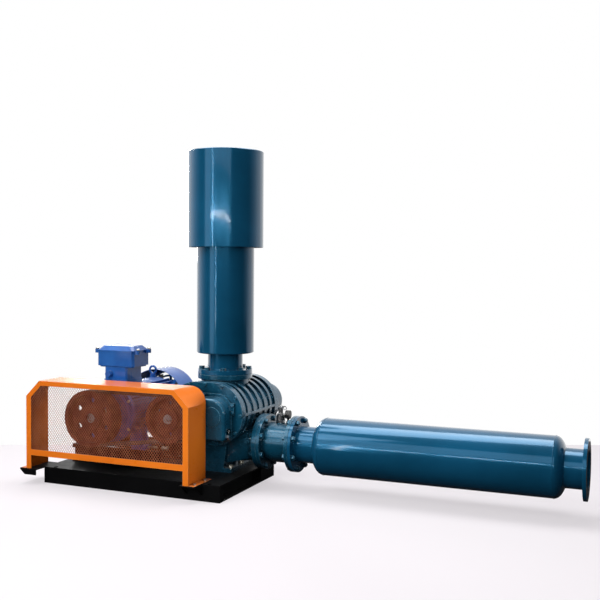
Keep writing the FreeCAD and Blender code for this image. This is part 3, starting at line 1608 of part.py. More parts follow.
def inlet_hood():
    """Rain hood over the drum, closed on top and open below."""
    c = Vector(blower_x, blower_y, 0)
    outer = rod_z(c.x, c.y, hood_radius, hood_bottom, hood_top)
    rim = [e for e in outer.Edges if abs(e.CenterOfMass.z - hood_top) < 0.01]
    outer = outer.makeFillet(6, rim)
    inner = rod_z(c.x, c.y, hood_radius - hood_wall, hood_bottom - 1, hood_top - hood_wall)
    return outer.cut(inner)


def hood_brackets():
    """Four straps between the drum and the hood."""
    straps = []
    for u, v in around(4, 1.0, 45):
        angle = math.degrees(math.atan2(v, u))
        bar = box(blower_x + drum_radius + fit, blower_x + hood_radius - hood_wall - fit,
                  blower_y - 15, blower_y + 15, hood_bottom + 20, hood_bottom + 26)
        near = box(blower_x + drum_radius + fit, blower_x + drum_radius + 4, blower_y - 15,
                   blower_y + 15, hood_bottom + 20, hood_bottom + 60)
        far = box(blower_x + hood_radius - hood_wall - 4, blower_x + hood_radius - hood_wall - fit,
                  blower_y - 15, blower_y + 15, hood_bottom + 20, hood_bottom + 60)
        outer = rod_z(blower_x, blower_y, hood_radius - hood_wall - seat_gap, hood_bottom, hood_top)
        inner = rod_z(blower_x, blower_y, drum_radius + seat_gap, hood_bottom, hood_top)
        strap = join([bar, near, far]).common(outer).cut(inner)
        strap.rotate(Vector(blower_x, blower_y, 0), UP, angle)
        straps.append(strap)
    return group(straps)


# Discharge line

def discharge_tee():
    """Flanged spool with the socket for the relief valve and the gauge."""
    c = Vector(tee_face, blower_y, discharge_height)
    inside = pipe_radius - pipe_wall
    near = pipe_flange(c, EAST, flange_thickness, inside, port_hole_radius)
    far_x = tee_face + tee_length - flange_thickness
    far = pipe_flange(Vector(far_x, c.y, c.z), EAST, flange_thickness, inside, port_hole_radius)
    pipe = rod_x(c.y, c.z, tee_radius, tee_face + flange_thickness - 1, far_x + 1)
    top = c.z + tee_radius
    socket = rod_z(valve_x, c.y, 28, top - 30, top + socket_height)
    gauge_socket = rod_z(gauge_x, c.y, 15, top - 30, top + socket_height)
    solid = join([pipe, socket, gauge_socket])
    bore = rod_x(c.y, c.z, tee_radius - tee_wall, tee_face + flange_thickness, far_x)
    through = rod_x(c.y, c.z, inside, tee_face, far_x + flange_thickness)
    holes = [rod_z(valve_x, c.y, 16.3, top - 40, top + socket_height + 1),
             rod_z(gauge_x, c.y, 7.3, top - 40, top + socket_height + 1)]
    return join([solid.cut([bore, through] + holes), near, far])


def silencer_shell():
    """Silencer body: stub, dished end, drum, dished end, pipe and end flange."""
    x0 = silencer_face
    c_y = blower_y
    z = discharge_height
    stub_end = silencer_start - dish_depth
    inside = pipe_radius - pipe_wall
    near = pipe_flange(Vector(x0, c_y, z), EAST, flange_thickness, inside, flange_hole_radius)
    far = pipe_flange(Vector(discharge_end - flange_thickness, c_y, z), EAST, flange_thickness,
                      inside, flange_hole_radius)
    outer = dished_body(0)
    inner = dished_body(silencer_wall)
    first = rod_x(c_y, z, pipe_radius, x0 + flange_thickness - 1, stub_end + 30)
    last = rod_x(c_y, z, pipe_radius, silencer_end + dish_depth - 30,
                 discharge_end - flange_thickness + 1)
    solid = join([outer, first, last])
    bore = rod_x(c_y, z, inside, x0, discharge_end)
    return join([solid.cut([inner, bore]), near, far])


def dished_body(inset):
    """Drum along X with an elliptical dish at each end, drawn in by an inset."""
    y = blower_y
    z = discharge_height
    r = silencer_radius - inset
    d = dish_depth - inset
    x0 = silencer_start
    x1 = silencer_end

    def dish(x, sign):
        points = []
        for i in range(7):
            a = math.pi / 2 * i / 6
            points.append(Vector(x + sign * d * math.sin(a), y, z + r * math.cos(a)))
        curve = Part.BSplineCurve()
        curve.interpolate(points)
        return curve.toShape(), points[-1]

    left, left_pole = dish(x0, -1)
    right, right_pole = dish(x1, 1)
    top = line(Vector(x0, y, z + r), Vector(x1, y, z + r))
    axis = line(left_pole, right_pole)
    face = Part.Face(Part.Wire(Part.sortEdges([left, top, right, axis])[0]))
    return face.revolve(Vector(x0, y, z), EAST, 360)


def silencer_core():
    """Perforated tube through the silencer with its two baffles."""
    y = blower_y
    z = discharge_height
    r = pipe_radius - pipe_wall
    tube = rod_x(y, z, r + 8, silencer_start + 30, silencer_end - 30)
    bore = rod_x(y, z, r + 5, silencer_start, silencer_end)
    baffles = []
    for x in (silencer_start + 60, silencer_end - 66):
        baffles.append(rod_x(y, z, silencer_radius - silencer_wall - seat_gap, x, x + 6))
    return join([tube] + baffles).cut(bore)


def pipe_gaskets():
    """Gaskets of the inlet, the outlet and the silencer joint."""
    y = blower_y
    z = discharge_height
    return group([gasket(Vector(blower_x, y, port_top), UP),
                  gasket(Vector(outlet_face, y, z), EAST),
                  gasket(Vector(tee_end, y, z), EAST)])


def flange_fasteners():
    """Bolts and nuts of the inlet, of the casing outlet and of the silencer joint."""
    y = blower_y
    z = discharge_height
    top = Vector(blower_x, y, inlet_face + port_flange_thickness)
    first = Vector(tee_face + flange_thickness, y, z)
    second = Vector(tee_end - flange_thickness, y, z)
    grip = 2 * port_flange_thickness + gasket_thickness - 2
    bolts = [bolt(p, DOWN, flange_bolt_size, grip) for p in flange_points(top, DOWN)]
    bolts += flange_bolts(first, WEST, flange_thickness, port_flange_thickness)
    bolts += flange_bolts(second, EAST, flange_thickness, flange_thickness)
    return group(bolts)


# Relief valve and gauge

valve_seat = discharge_height + tee_radius + socket_height
disc_height = 20.0
bonnet_seat = valve_seat + valve_body_height
spring_foot = valve_seat + disc_height + 11
spring_top = bonnet_seat + valve_bonnet_height - 6


def relief_body():
    """Valve body screwed into the tee, with a hexagon at its foot and a side outlet."""
    z = valve_seat
    y = blower_y
    stem = rod_z(valve_x, y, 16, z - 30, z + 1)
    nut = prism(Vector(valve_x, y, z), UP, valve_body_radius + 2, 14)
    barrel = rod_z(valve_x, y, valve_body_radius, z + 13, bonnet_seat)
    outlet = rod_y(valve_x, z + 32, 11, y + 10, y + valve_body_radius + 12)
    bore = rod_z(valve_x, y, 9, z - 31, bonnet_seat + 1)
    room = rod_z(valve_x, y, 18, z + disc_height, bonnet_seat + 1)
    side = rod_y(valve_x, z + 32, 7, y, y + valve_body_radius + 13)
    return join([stem, nut, barrel, outlet]).cut([bore, room, side])


def relief_bonnet():
    """Spring housing on top of the valve body."""
    z = bonnet_seat
    top = z + valve_bonnet_height
    cap = rod_z(valve_x, blower_y, valve_bonnet_radius, z, top)
    collar = prism(Vector(valve_x, blower_y, z), UP, 22, 8)
    room = rod_z(valve_x, blower_y, 11.5, z - 1, spring_top)
    stem_hole = rod_z(valve_x, blower_y, 3.5, z, top + 1)
    return join([cap, collar]).cut([room, stem_hole])


def relief_stem():
    """Valve disc, stem, lifting arm and test ring; they lift together against the spring."""
    z = valve_seat + disc_height
    disc = rod_z(valve_x, blower_y, 15, z + seat_gap, z + 6)
    collar = rod_z(valve_x, blower_y, 9, z + 5, spring_foot - seat_gap)
    arm_z = bonnet_seat + valve_bonnet_height + 1
    stem = rod_z(valve_x, blower_y, 3, z + 5, arm_z + 7)
    ring_x = valve_x + valve_bonnet_radius + ring_radius + 3
    arm = box(valve_x - 6, ring_x + 4, blower_y - 4, blower_y + 4, arm_z, arm_z + 6)
    ring = Part.makeTorus(ring_radius, 2.4, Vector(ring_x, blower_y, arm_z + 3 - ring_radius), NORTH)
    return join([disc, collar, stem, arm, ring])


def relief_spring():
    """Coil spring round the stem, as a plain sleeve."""
    outer = rod_z(valve_x, blower_y, 10, spring_foot, spring_top)
    return outer.cut(rod_z(valve_x, blower_y, 6.5, spring_foot - 1, spring_top + 1))


gauge_socket_top = discharge_height + tee_radius + socket_height
gauge_height = gauge_socket_top + gauge_radius + gauge_neck
gauge_front = gauge_x - gauge_depth / 2
gauge_back = gauge_x + gauge_depth / 2
gauge_wall = 3.0


def gauge_case():
    """Pressure gauge case with its dial and its threaded stem."""
    z = gauge_height
    y = blower_y
    outer = rod_x(y, z, gauge_radius, gauge_front, gauge_back)
    room = rod_x(y, z, gauge_radius - gauge_wall, gauge_front - 1, gauge_front + 12)
    stem = rod_z(gauge_x, y, 7, gauge_socket_top - 20, z - gauge_radius + 4)
    nut = prism(Vector(gauge_x, y, gauge_socket_top), UP, 12, 10)
    pivot = rod_x(y, z, 1.6, gauge_front + 6, gauge_front + 13)
    return join([outer.cut(room), stem, nut, pivot])


def gauge_needle():
    """Needle on its pivot, pointing to the start of the scale."""
    z = gauge_height
    y = blower_y
    x0 = gauge_front + 7
    thickness = 1.5
    reach = gauge_radius - gauge_wall - 4
    boss = rod_x(y, z, 4.5, x0, x0 + thickness)
    bore = rod_x(y, z, 1.6 + running_fit, x0 - 1, x0 + thickness + 1)
    blade = polygon([Vector(x0, y + 3, z - 1.4), Vector(x0, y + reach, z - 0.4),
                     Vector(x0, y + reach, z + 0.4), Vector(x0, y + 3, z + 1.4)])
    solid = join([boss.cut(bore), blade.extrude(EAST * thickness)])
    solid.rotate(Vector(x0, y, z), EAST, -45)
    return solid


def gauge_glass():
    """Front glass of the gauge."""
    radius = gauge_radius - gauge_wall - fit
    return rod_x(blower_y, gauge_height, radius, gauge_front, gauge_front + 2)


def main():
    """Build every piece and write one STEP file for each."""
    os.makedirs("parts", exist_ok=True)
    makers = [
        skid_frame, guard_brackets, motor_rails, skid_bolts, tension_screws,
        blower_casing, front_wall_plate, rear_wall_plate, front_cover, gear_cover, casing_bolts,
        oil_plugs, sight_glasses,
        drive_rotor, driven_rotor, drive_shaft, driven_shaft, bearings, shaft_seals,
        oil_slinger, drive_gear, driven_gear,
        blower_pulley, motor_pulley, blower_bush, motor_bush, v_belts,
        motor_frame, motor_front_shield, motor_rear_shield, motor_fasteners, fan_cowl,
        cooling_fan, motor_shaft, motor_core, stator_core,
        terminal_box, terminal_lid, entry_plug, lifting_eye,
        guard_shell, guard_front_frame, guard_mesh, guard_bolts,
        inlet_drum, inlet_core, inlet_hood, hood_brackets,
        discharge_tee, silencer_shell, silencer_core, pipe_gaskets, flange_fasteners,
        relief_body, relief_bonnet, relief_stem, relief_spring,
        gauge_case, gauge_needle, gauge_glass,
    ]
    for maker in makers:
        shape = maker()
        name = maker.__name__
        shape.exportStep("parts/" + name + ".step")
        kind = "valid" if shape.isValid() else "INVALID"
        print(name, kind, "solids", len(shape.Solids), "volume", round(shape.Volume / 1000.0, 1))
    print("nodes", len(makers))


main()
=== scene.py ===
"""Looks of a three-lobe roots blower set: finishes, mesh guard, welds, dial, camera and light."""
from __future__ import annotations

import json
import logging
import math
from dataclasses import dataclass, field
from enum import Enum

import bpy
import numpy as np
from mathutils import Matrix, Vector


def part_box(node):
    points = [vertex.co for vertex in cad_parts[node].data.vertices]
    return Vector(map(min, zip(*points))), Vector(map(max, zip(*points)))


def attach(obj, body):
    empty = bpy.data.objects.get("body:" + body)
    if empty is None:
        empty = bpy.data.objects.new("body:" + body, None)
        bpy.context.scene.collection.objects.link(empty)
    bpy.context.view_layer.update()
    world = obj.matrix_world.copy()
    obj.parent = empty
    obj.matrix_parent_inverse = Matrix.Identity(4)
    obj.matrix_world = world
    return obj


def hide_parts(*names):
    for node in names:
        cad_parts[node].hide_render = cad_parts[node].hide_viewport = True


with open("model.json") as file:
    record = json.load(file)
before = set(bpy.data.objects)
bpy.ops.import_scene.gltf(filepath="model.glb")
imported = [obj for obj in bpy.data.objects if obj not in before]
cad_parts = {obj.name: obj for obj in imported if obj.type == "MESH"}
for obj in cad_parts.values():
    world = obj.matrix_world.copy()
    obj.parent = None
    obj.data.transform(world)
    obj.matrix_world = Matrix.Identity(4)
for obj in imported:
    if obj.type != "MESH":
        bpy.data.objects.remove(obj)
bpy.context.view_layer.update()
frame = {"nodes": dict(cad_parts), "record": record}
LOG = logging.getLogger("roots_blower")
MM = 0.001
SET = "blower_set"
BEVEL_SAMPLES = 4

# Short names for type hints
Tree = bpy.types.NodeTree
Socket = bpy.types.NodeSocket


# Colour and shader nodes

def linear(code: str) -> tuple[float, float, float, float]:
    """Turn an sRGB hex colour into linear RGBA.

    Each part of the colour is divided by 12.92 where it is dark, and elsewhere gets 0.055 added,
    is divided by 1.055 and raised to the power 2.4, which is the sRGB curve.

    Args:
        code: Colour such as "#1a7b9c".

    Returns:
        Four linear values, the last for full opacity.
    """
    srgb = np.array([int(code[i:i + 2], 16) for i in (1, 3, 5)]) / 255.0
    flat = np.where(srgb <= 0.04045, srgb / 12.92, ((srgb + 0.055) / 1.055) ** 2.4)
    return (float(flat[0]), float(flat[1]), float(flat[2]), 1.0)


def repeats(size_mm: float) -> float:
    """Scale of a pattern on object coordinates whose features are size_mm across."""
    return 1.0 / (size_mm * MM)


def feed(tree: Tree, node: bpy.types.Node, feeds: dict) -> None:
    """Give inputs of a node their values and links.

    Args:
        tree: Node tree that holds the node.
        node: Node whose inputs are set.
        feeds: Input name or number to a plain value or to an output socket.
    """
    for key, value in feeds.items():
        if isinstance(value, Socket):
            tree.links.new(value, node.inputs[key])
        else:
            node.inputs[key].default_value = value


def add_node(tree: Tree, kind: str, feeds: dict | None = None, **settings) -> bpy.types.Node:
    """Add one shader node with its settings and links.

    Args:
        tree: Node tree that gets the node.
        kind: Blender's name of the node class.
        feeds: Input name or number to a plain value or to an output socket.
        settings: Properties of the node by name.

    Returns:
        The new node.
    """
    made = tree.nodes.new(kind)
    for name, value in settings.items():
        setattr(made, name, value)
    feed(tree, made, feeds or {})
    return made


def bare_tree(owner: bpy.types.Material | bpy.types.World) -> Tree:
    """Empty node tree of a new material or world."""
    owner.use_nodes = True
    owner.node_tree.nodes.clear()
    return owner.node_tree


def coordinates(tree: Tree, kind: str = "Object") -> Socket:
    """Coordinates that a pattern follows, of one kind."""
    return add_node(tree, "ShaderNodeTexCoord").outputs[kind]


def noise(tree: Tree, place: Socket, size_mm: float, detail: float,
          roughness: float = 0.5) -> Socket:
    """Soft random pattern.

    Args:
        tree: Node tree that gets the node.
        place: Coordinates that the pattern follows.
        size_mm: How wide its largest blots are.
        detail: How many finer layers lie over them.
        roughness: How strong each finer layer is.

    Returns:
        The pattern, from 0 to 1.
    """
    return add_node(tree, "ShaderNodeTexNoise",
                    {"Vector": place, "Scale": repeats(size_mm), "Detail": detail,
                     "Roughness": roughness}).outputs["Fac"]


def remap(tree: Tree, value: Socket, span: tuple[float, float],
          onto: tuple[float, float] = (0.0, 1.0)) -> Socket:
    """Stretch a value evenly from one span onto another, and hold it at the ends.

    Args:
        tree: Node tree that gets the node.
        value: Value to stretch.
        span: Where the value starts and stops to count.
        onto: What it becomes at those two.

    Returns:
        The stretched value.
    """
    return add_node(tree, "ShaderNodeMapRange",
                    {"Value": value, "From Min": span[0], "From Max": span[1],
                     "To Min": onto[0], "To Max": onto[1]}).outputs["Result"]


def blend(tree: Tree, share: Socket, under: Socket | tuple, over: Socket | tuple) -> Socket:
    """Lay one colour over another by a share.

    Args:
        tree: Node tree that gets the node.
        share: How much of the upper colour shows, from 0 to 1.
        under: Lower colour.
        over: Upper colour.

    Returns:
        The mixed colour.
    """
    return add_node(tree, "ShaderNodeMix", {0: share, 6: under, 7: over},
                    data_type="RGBA").outputs[2]


def combine(tree: Tree, operation: str, *values: Socket | float) -> Socket:
    """Work one number out of others, by the Math node's operation of that name."""
    return add_node(tree, "ShaderNodeMath", dict(enumerate(values)),
                    operation=operation).outputs[0]


def dot(tree: Tree, first: Socket, second: Socket | tuple) -> Socket:
    """Dot product of two vectors."""
    return add_node(tree, "ShaderNodeVectorMath", {0: first, 1: second},
                    operation="DOT_PRODUCT").outputs["Value"]


def soft_edges(tree: Tree, radius_mm: float) -> Socket:
    """Normal that bends round sharp corners with a small radius."""
    return add_node(tree, "ShaderNodeBevel", {"Radius": radius_mm * MM},
                    samples=BEVEL_SAMPLES).outputs["Normal"]


def raised(tree: Tree, height: Socket, depth_mm: float, strength: float,
           normal: Socket | None = None) -> Socket:
    """Normal of a surface with a pattern in low relief.

    Args:
        tree: Node tree that gets the node.
        height: Pattern, 1 where it stands up.
        depth_mm: How high it stands.
        strength: How much of the relief is drawn.
        normal: Normal under the relief, the mesh's own if it is left out.

    Returns:
        The new normal.
    """
    feeds = {"Height": height, "Distance": depth_mm * MM, "Strength": strength}
    if normal is not None:
        feeds["Normal"] = normal
    return add_node(tree, "ShaderNodeBump", feeds).outputs["Normal"]


# Finishes

@dataclass(frozen=True)
class Finish:
    """What every finish shares: its name, a bare Principled shader and drifting tones."""

    name: str

    TONE_SPAN = (0.33, 0.67)

    def start(self) -> tuple[bpy.types.Material, Tree, bpy.types.Node]:
        """Begin the material.

        Returns:
            The material, its node tree and the Principled node.
        """
        material = bpy.data.materials.new(self.name)
        tree = bare_tree(material)
        shader = add_node(tree, "ShaderNodeBsdfPrincipled")
        add_node(tree, "ShaderNodeOutputMaterial", {"Surface": shader.outputs["BSDF"]})
        return material, tree, shader

    def two_tones(self, tree: Tree, place: Socket, size_mm: float, dark: str,
                  light: str) -> Socket:
        """Drift between two tones in soft patches.

        Args:
            tree: Node tree that gets the nodes.
            place: Coordinates that the patches follow.
            size_mm: How wide a patch is.
            dark: Hex colour of the dark patches.
            light: Hex colour of the light ones.

        Returns:
            The colour.
        """
        share = remap(tree, noise(tree, place, size_mm, 4.0, 0.6), self.TONE_SPAN)
        return blend(tree, share, linear(dark), linear(light))


@dataclass(frozen=True)
class Enamel(Finish):
    """Machine enamel, sprayed over sheet steel or sand castings.

    To the eye it is one saturated colour under a clear gloss that draws lamps out into lines.
    The film wears on corners, which are drawn a shade lighter, partly as wear and partly as a
    painted highlight along the edges; it dulls where dust settles, and takes painted shade in
    spaces that are shut in, darkened by the share nook_shade towards painted_shade. sheen
    tints what the film mirrors, and film is the index of the clear coat: low, so that lamps
    don't wash the colour out, while the rims still mirror the room. All sizes are in
    millimetres: patch is how wide the tones drift and edge how far the corners wear and carry
    the painted highlight. Orange peel is really 1 to 2 mm wide and the grain of a sand casting
    1 mm; both are drawn coarser so that they show.

    In each span the effect starts at the first value and is full at the second. The corners'
    is of the cosine between worn and true normal, the dust's of the normal's upward part and
    the painted shade's of the open share of the sky.
    """

    deep: str
    light: str
    corner: str
    gloss: float = 0.24
    gloss_drift: float = 0.10
    specular: float = 0.08
    sheen: str = "#ffffff"
    coat: float = 1.0
    film: float = 1.28
    patch: float = 380.0
    peel: float = 9.0
    peel_depth: float = 0.03
    casting: float = 0.0
    casting_depth: float = 0.0
    edge: float = 1.5
    dust: float = 0.10
    # nook_shade and painted_shade: painted shade in nooks, the colour darkened where little of the
    # sky is open.
    nook_shade: float = 0.0
    painted_shade: str = "#2a0f08"

    COAT_ROUGHNESS = 0.06
    # Corners are lightened towards the corner tone, partly as wear and partly as a painted
    # highlight along edges.
    CORNER_SPAN = (1.0, 0.80)
    CORNER_SHARE = 0.7
    DUST_TONE = "#a8a49c"
    DUST_SPAN = (0.5, 1.0)
    DUST_PATCH = 70
    DUST_DULLS = 1.2
    HAZE_SPAN = (0.3, 0.75)
    HAZE_PATCH = 60
    # Painted shade in nooks: it grows as the open share of the sky falls from the first value to
    # the second.
    PAINTED_SHADE_SPAN = (0.70, 0.35)
    PAINTED_SHADE_REACH = 300
    PAINTED_SHADE_SAMPLES = 8
    RELIEF = 4

    def build(self) -> bpy.types.Material:
        """Return the finished material."""
        material, tree, shader = self.start()
        place = coordinates(tree)
        worn = soft_edges(tree, self.edge)
        dust = self.settled_dust(tree, place)
        feed(tree, shader, {"Base Color": self.colour(tree, place, worn, dust),
                            "Roughness": self.dullness(tree, place, dust),
                            "Normal": self.surface(tree, place, worn),
                            "Specular IOR Level": self.specular,
                            "Specular Tint": linear(self.sheen),
                            "Coat Weight": self.coat,
                            "Coat IOR": self.film,
                            "Coat Roughness": self.COAT_ROUGHNESS})
        return material

    def settled_dust(self, tree: Tree, place: Socket) -> Socket:
        """Share of dust, which lies in patches on faces that look up.

        Args:
            tree: Node tree that gets the nodes.
            place: Coordinates that the patches follow.

        Returns:
            The share, from 0 to the field dust.
        """
        facing = add_node(tree, "ShaderNodeNewGeometry").outputs["Normal"]
        upward = add_node(tree, "ShaderNodeSeparateXYZ", {0: facing}).outputs["Z"]
        level = remap(tree, upward, self.DUST_SPAN, (0.0, self.dust))
        return combine(tree, "MULTIPLY", level, noise(tree, place, self.DUST_PATCH, 6.0, 0.7))

    def colour(self, tree: Tree, place: Socket, worn: Socket, dust: Socket) -> Socket:
        """Colour of the film, with painted highlight and wear on corners, dust and painted shade.

        Args:
            tree: Node tree that gets the nodes.
            place: Coordinates that the tones follow.
            worn: Normal that bends round the corners.
            dust: Share of dust.

        Returns:
            The colour.
        """
        facing = add_node(tree, "ShaderNodeNewGeometry").outputs["Normal"]
        # Painted highlight and wear: corners lightened towards the corner tone.
        worn_and_highlit = remap(tree, dot(tree, worn, facing), self.CORNER_SPAN, (0.0, self.CORNER_SHARE))
        film = self.two_tones(tree, place, self.patch, self.deep, self.light)
        shown = blend(tree, worn_and_highlit, film, linear(self.corner))
        shown = blend(tree, dust, shown, linear(self.DUST_TONE))
        # Painted shade: darker in nooks, where ambient occlusion finds the sky shut off.
        if self.nook_shade > 0:
            open_share = add_node(tree, "ShaderNodeAmbientOcclusion",
                                  {"Distance": self.PAINTED_SHADE_REACH * MM},
                                  samples=self.PAINTED_SHADE_SAMPLES).outputs["AO"]
            painted_shade = remap(tree, open_share, self.PAINTED_SHADE_SPAN, (0.0, self.nook_shade))
            shown = blend(tree, painted_shade, shown, linear(self.painted_shade))
        return shown

    def dullness(self, tree: Tree, place: Socket, dust: Socket) -> Socket:
        """Roughness that drifts in hazy patches and rises under dust.

        Args:
            tree: Node tree that gets the nodes.
            place: Coordinates that the patches follow.
            dust: Share of dust.

        Returns:
            The roughness.
        """
        haze = noise(tree, place, self.HAZE_PATCH, 5.0, 0.65)
        rough = remap(tree, haze, self.HAZE_SPAN, (self.gloss, self.gloss + self.gloss_drift))
        return combine(tree, "MULTIPLY_ADD", dust, self.DUST_DULLS, rough)

    def surface(self, tree: Tree, place: Socket, worn: Socket) -> Socket:
        """Normal with the grain of the casting and the orange peel over it.

        Args:
            tree: Node tree that gets the nodes.
            place: Coordinates that the grain follows.
            worn: Normal that bends round the corners.

        Returns:
            The new normal.
        """
        normal = worn
        for size, depth, detail in ((self.casting, self.casting_depth, 5.0),
                                    (self.peel, self.peel_depth, 1.0)):
            if depth > 0:
                grain = noise(tree, place, size, detail)
                normal = raised(tree, grain, depth * self.RELIEF, 0.5, normal)
        return normal


@dataclass(frozen=True)
class WorkedSteel(Finish):
    """Machined or zinc-plated steel.

    To the eye it is tight grey metal: it mirrors what is round it, broken by fine tool marks
    and by a drift of dull patches from handling, from BRIGHTER under the roughness rough to
    DULLER over it. line is the spacing of the marks, really 0.2 mm, drawn coarser so that it
    shows. All sizes are in millimetres.
    """

    dark: str
    light: str
    rough: float
    line: float = 3.0

    PATCH = 45
    HANDLED_PATCH = 30
    BRIGHTER = 0.06
    DULLER = 0.12
    EDGE = 0.8
    DEPTH = 0.1

    def build(self) -> bpy.types.Material:
        """Return the finished material."""
        material, tree, shader = self.start()
        place = coordinates(tree)
        handled = noise(tree, place, self.HANDLED_PATCH, 6.0, 0.7)
        marks = noise(tree, place, self.line, 2.0)
        feed(tree, shader, {
            "Base Color": self.two_tones(tree, place, self.PATCH, self.dark, self.light),
            "Roughness": remap(tree, handled, (0.0, 1.0),
                               (self.rough - self.BRIGHTER, self.rough + self.DULLER)),
            "Normal": raised(tree, marks, self.DEPTH, 0.4, soft_edges(tree, self.EDGE)),
            "Metallic": 1.0})
        return material


@dataclass(frozen=True)
class PrimedIron(Finish):
    """Cast iron pulley in red oxide primer, turned in rings.

    To the eye it is a flat red-brown with faint rings from the lathe tool on its faces. ring is
    their spacing, really 0.3 mm, drawn far coarser so that it shows. Sizes are in millimetres,
    apart from centre, a point in metres of the axis that they run round.
    """

    dark: str
    light: str
    centre: tuple[float, float, float]
    ring: float = 23.687

    WAVE_RATE = 20.0
    PATCH = 70
    EDGE = 1.5
    DEPTH = 0.15
    ROUGHNESS = 0.55
    SPECULAR = 0.3

    def build(self) -> bpy.types.Material:
        """Return the finished material.

        Blender's wave turns by WAVE_RATE radians for each unit of its scaled coordinates, so
        rings one spacing apart need the scale of a full turn over that rate and spacing.
        """
        material, tree, shader = self.start()
        place = coordinates(tree)
        centred = add_node(tree, "ShaderNodeMapping",
                           {"Vector": place, "Location": tuple(-c for c in self.centre)})
        rings = add_node(tree, "ShaderNodeTexWave",
                         {"Vector": centred.outputs["Vector"],
                          "Scale": math.tau / self.WAVE_RATE * repeats(self.ring),
                          "Distortion": 0.6, "Detail": 2.0},
                         wave_type="RINGS", rings_direction="Y").outputs["Fac"]
        feed(tree, shader, {
            "Base Color": self.two_tones(tree, place, self.PATCH, self.dark, self.light),
            "Roughness": self.ROUGHNESS,
            "Normal": raised(tree, rings, self.DEPTH, 0.5, soft_edges(tree, self.EDGE)),
            "Specular IOR Level": self.SPECULAR})
        return material


@dataclass(frozen=True)
class Moulding(Finish):
    """Moulded rubber or nylon, or a stoved black case.

    To the eye it is one dark tone with a soft sheen; grain is the mould's texture in
    millimetres, drawn coarser than the real 0.1 to 0.5 mm so that it shows.
    """

    dark: str
    light: str
    rough: float
    grain: float = 3.0

    PATCH = 25
    DEPTH = 0.1

    def build(self) -> bpy.types.Material:
        """Return the finished material."""
        material, tree, shader = self.start()
        place = coordinates(tree)
        grain = noise(tree, place, self.grain, 4.0)
        feed(tree, shader, {
            "Base Color": self.two_tones(tree, place, self.PATCH, self.dark, self.light),
            "Roughness": self.rough,
            "Normal": raised(tree, grain, self.DEPTH, 0.4)})
        return material


@dataclass(frozen=True)
class ClearGlass(Finish):
    """Flat drawn glass: clear, with a slight green cast in its thickness."""

    tint: str
    rough: float = 0.03
    index: float = 1.5

    def build(self) -> bpy.types.Material:
        """Return the finished material."""
        material, tree, shader = self.start()
        feed(tree, shader, {"Base Color": linear(self.tint), "Roughness": self.rough,
                            "IOR": self.index, "Transmission Weight": 1.0})
        return material


class Paint(Enum):
    """Finishes of the set, by the record's material slot."""

    FRAME = "frame_paint"
    ZINC = "zinc"
    BLOWER = "blower_paint"
    STEEL = "bright_steel"
    GLASS = "glass"
    IRON = "cast_iron"
    RUBBER = "rubber"
    PULLEY = "pulley_iron"
    MOTOR = "motor_paint"
    PLASTIC = "black_plastic"
    CORE = "core_steel"
    GUARD = "guard_paint"
    SILENCER = "silencer_paint"
    GAUGE = "gauge_paint"


# A point of the motor's axis, in metres. The lathe rings run true on the motor's pulley and are
# too faint to tell on the blower's.
MOTOR_AXIS = (-0.247, 0.0, 0.434)

# The third colour of each enamel is its corner tone: partly wear, partly a painted highlight along
# edges.
FINISHES = {
    Paint.FRAME: Enamel("black chassis enamel", "#09090a", "#0e0e0f", "#262627", gloss=0.40,
                        gloss_drift=0.14, specular=0.04, coat=0.0, peel=12, dust=0.02),
    Paint.ZINC: WorkedSteel("zinc plated steel", "#8d8a80", "#b9b5a8", 0.34),
    # The blower's nooks are darkened to near-black navy as painted shade.
    Paint.BLOWER: Enamel("petrol enamel on sand castings", "#09384d", "#0e4b65", "#6fabc6",
                         gloss=0.20, gloss_drift=0.14, specular=0.9, sheen="#6ab4dc",
                         film=1.26, patch=160, nook_shade=0.85, painted_shade="#020b12",
                         casting=5, casting_depth=0.16, edge=4.0, dust=0.08),
    Paint.STEEL: WorkedSteel("machined steel", "#9a9c9e", "#c6c8ca", 0.26),
    Paint.GLASS: ClearGlass("clear glass", "#e8f2ee"),
    Paint.IRON: WorkedSteel("machined grey iron", "#4a4a4c", "#6a6a6c", 0.38),
    Paint.RUBBER: Moulding("black belt rubber", "#0b0b0b", "#191817", 0.62),
    # The primer's tones are darker than red oxide's own: painted shade on the pulleys inside the
    # guard.
    Paint.PULLEY: PrimedIron("red oxide primer on iron", "#42160f", "#5c2216", MOTOR_AXIS),
    # Its dust share is high, so its upward faces turn pale grey: partly dust, partly painted light
    # on its tops.
    Paint.MOTOR: Enamel("royal blue enamel", "#164289", "#2560aa", "#5c86cc", gloss=0.26,
                        patch=200, casting=6, casting_depth=0.05, edge=2.0, dust=0.34),
    Paint.PLASTIC: Moulding("black nylon", "#0a0a0b", "#161617", 0.45),
    Paint.CORE: WorkedSteel("plain sheet steel", "#5c5c5e", "#818184", 0.42),
    # The guard's inside is darkened to dark red-brown as painted shade.
    Paint.GUARD: Enamel("orange enamel on folded sheet", "#e8741c", "#f28125", "#ffc089",
                        gloss=0.26, gloss_drift=0.08, film=1.14, patch=500, peel=14,
                        edge=2.2, nook_shade=0.9),
    Paint.SILENCER: Enamel("petrol enamel on rolled sheet", "#0a3f5a", "#104d6e", "#3c8cab",
                           gloss=0.14, gloss_drift=0.05, specular=1.0, sheen="#4a9ccc",
                           film=1.20, patch=600, peel=16, peel_depth=0.02, dust=0.05),
    Paint.GAUGE: Moulding("stoved black enamel", "#101011", "#1b1b1d", 0.3),
}

# The mesh shares the guard's slot but has a finish of its own: a darker, browner copy of the
# guard's orange, painted shade on the strands.
WEB = Enamel("expanded steel in shaded orange", "#904a30", "#c07452", "#d09070", gloss=0.45, specular=0.10,
             coat=0.0, patch=40, edge=0.3, dust=0.20)

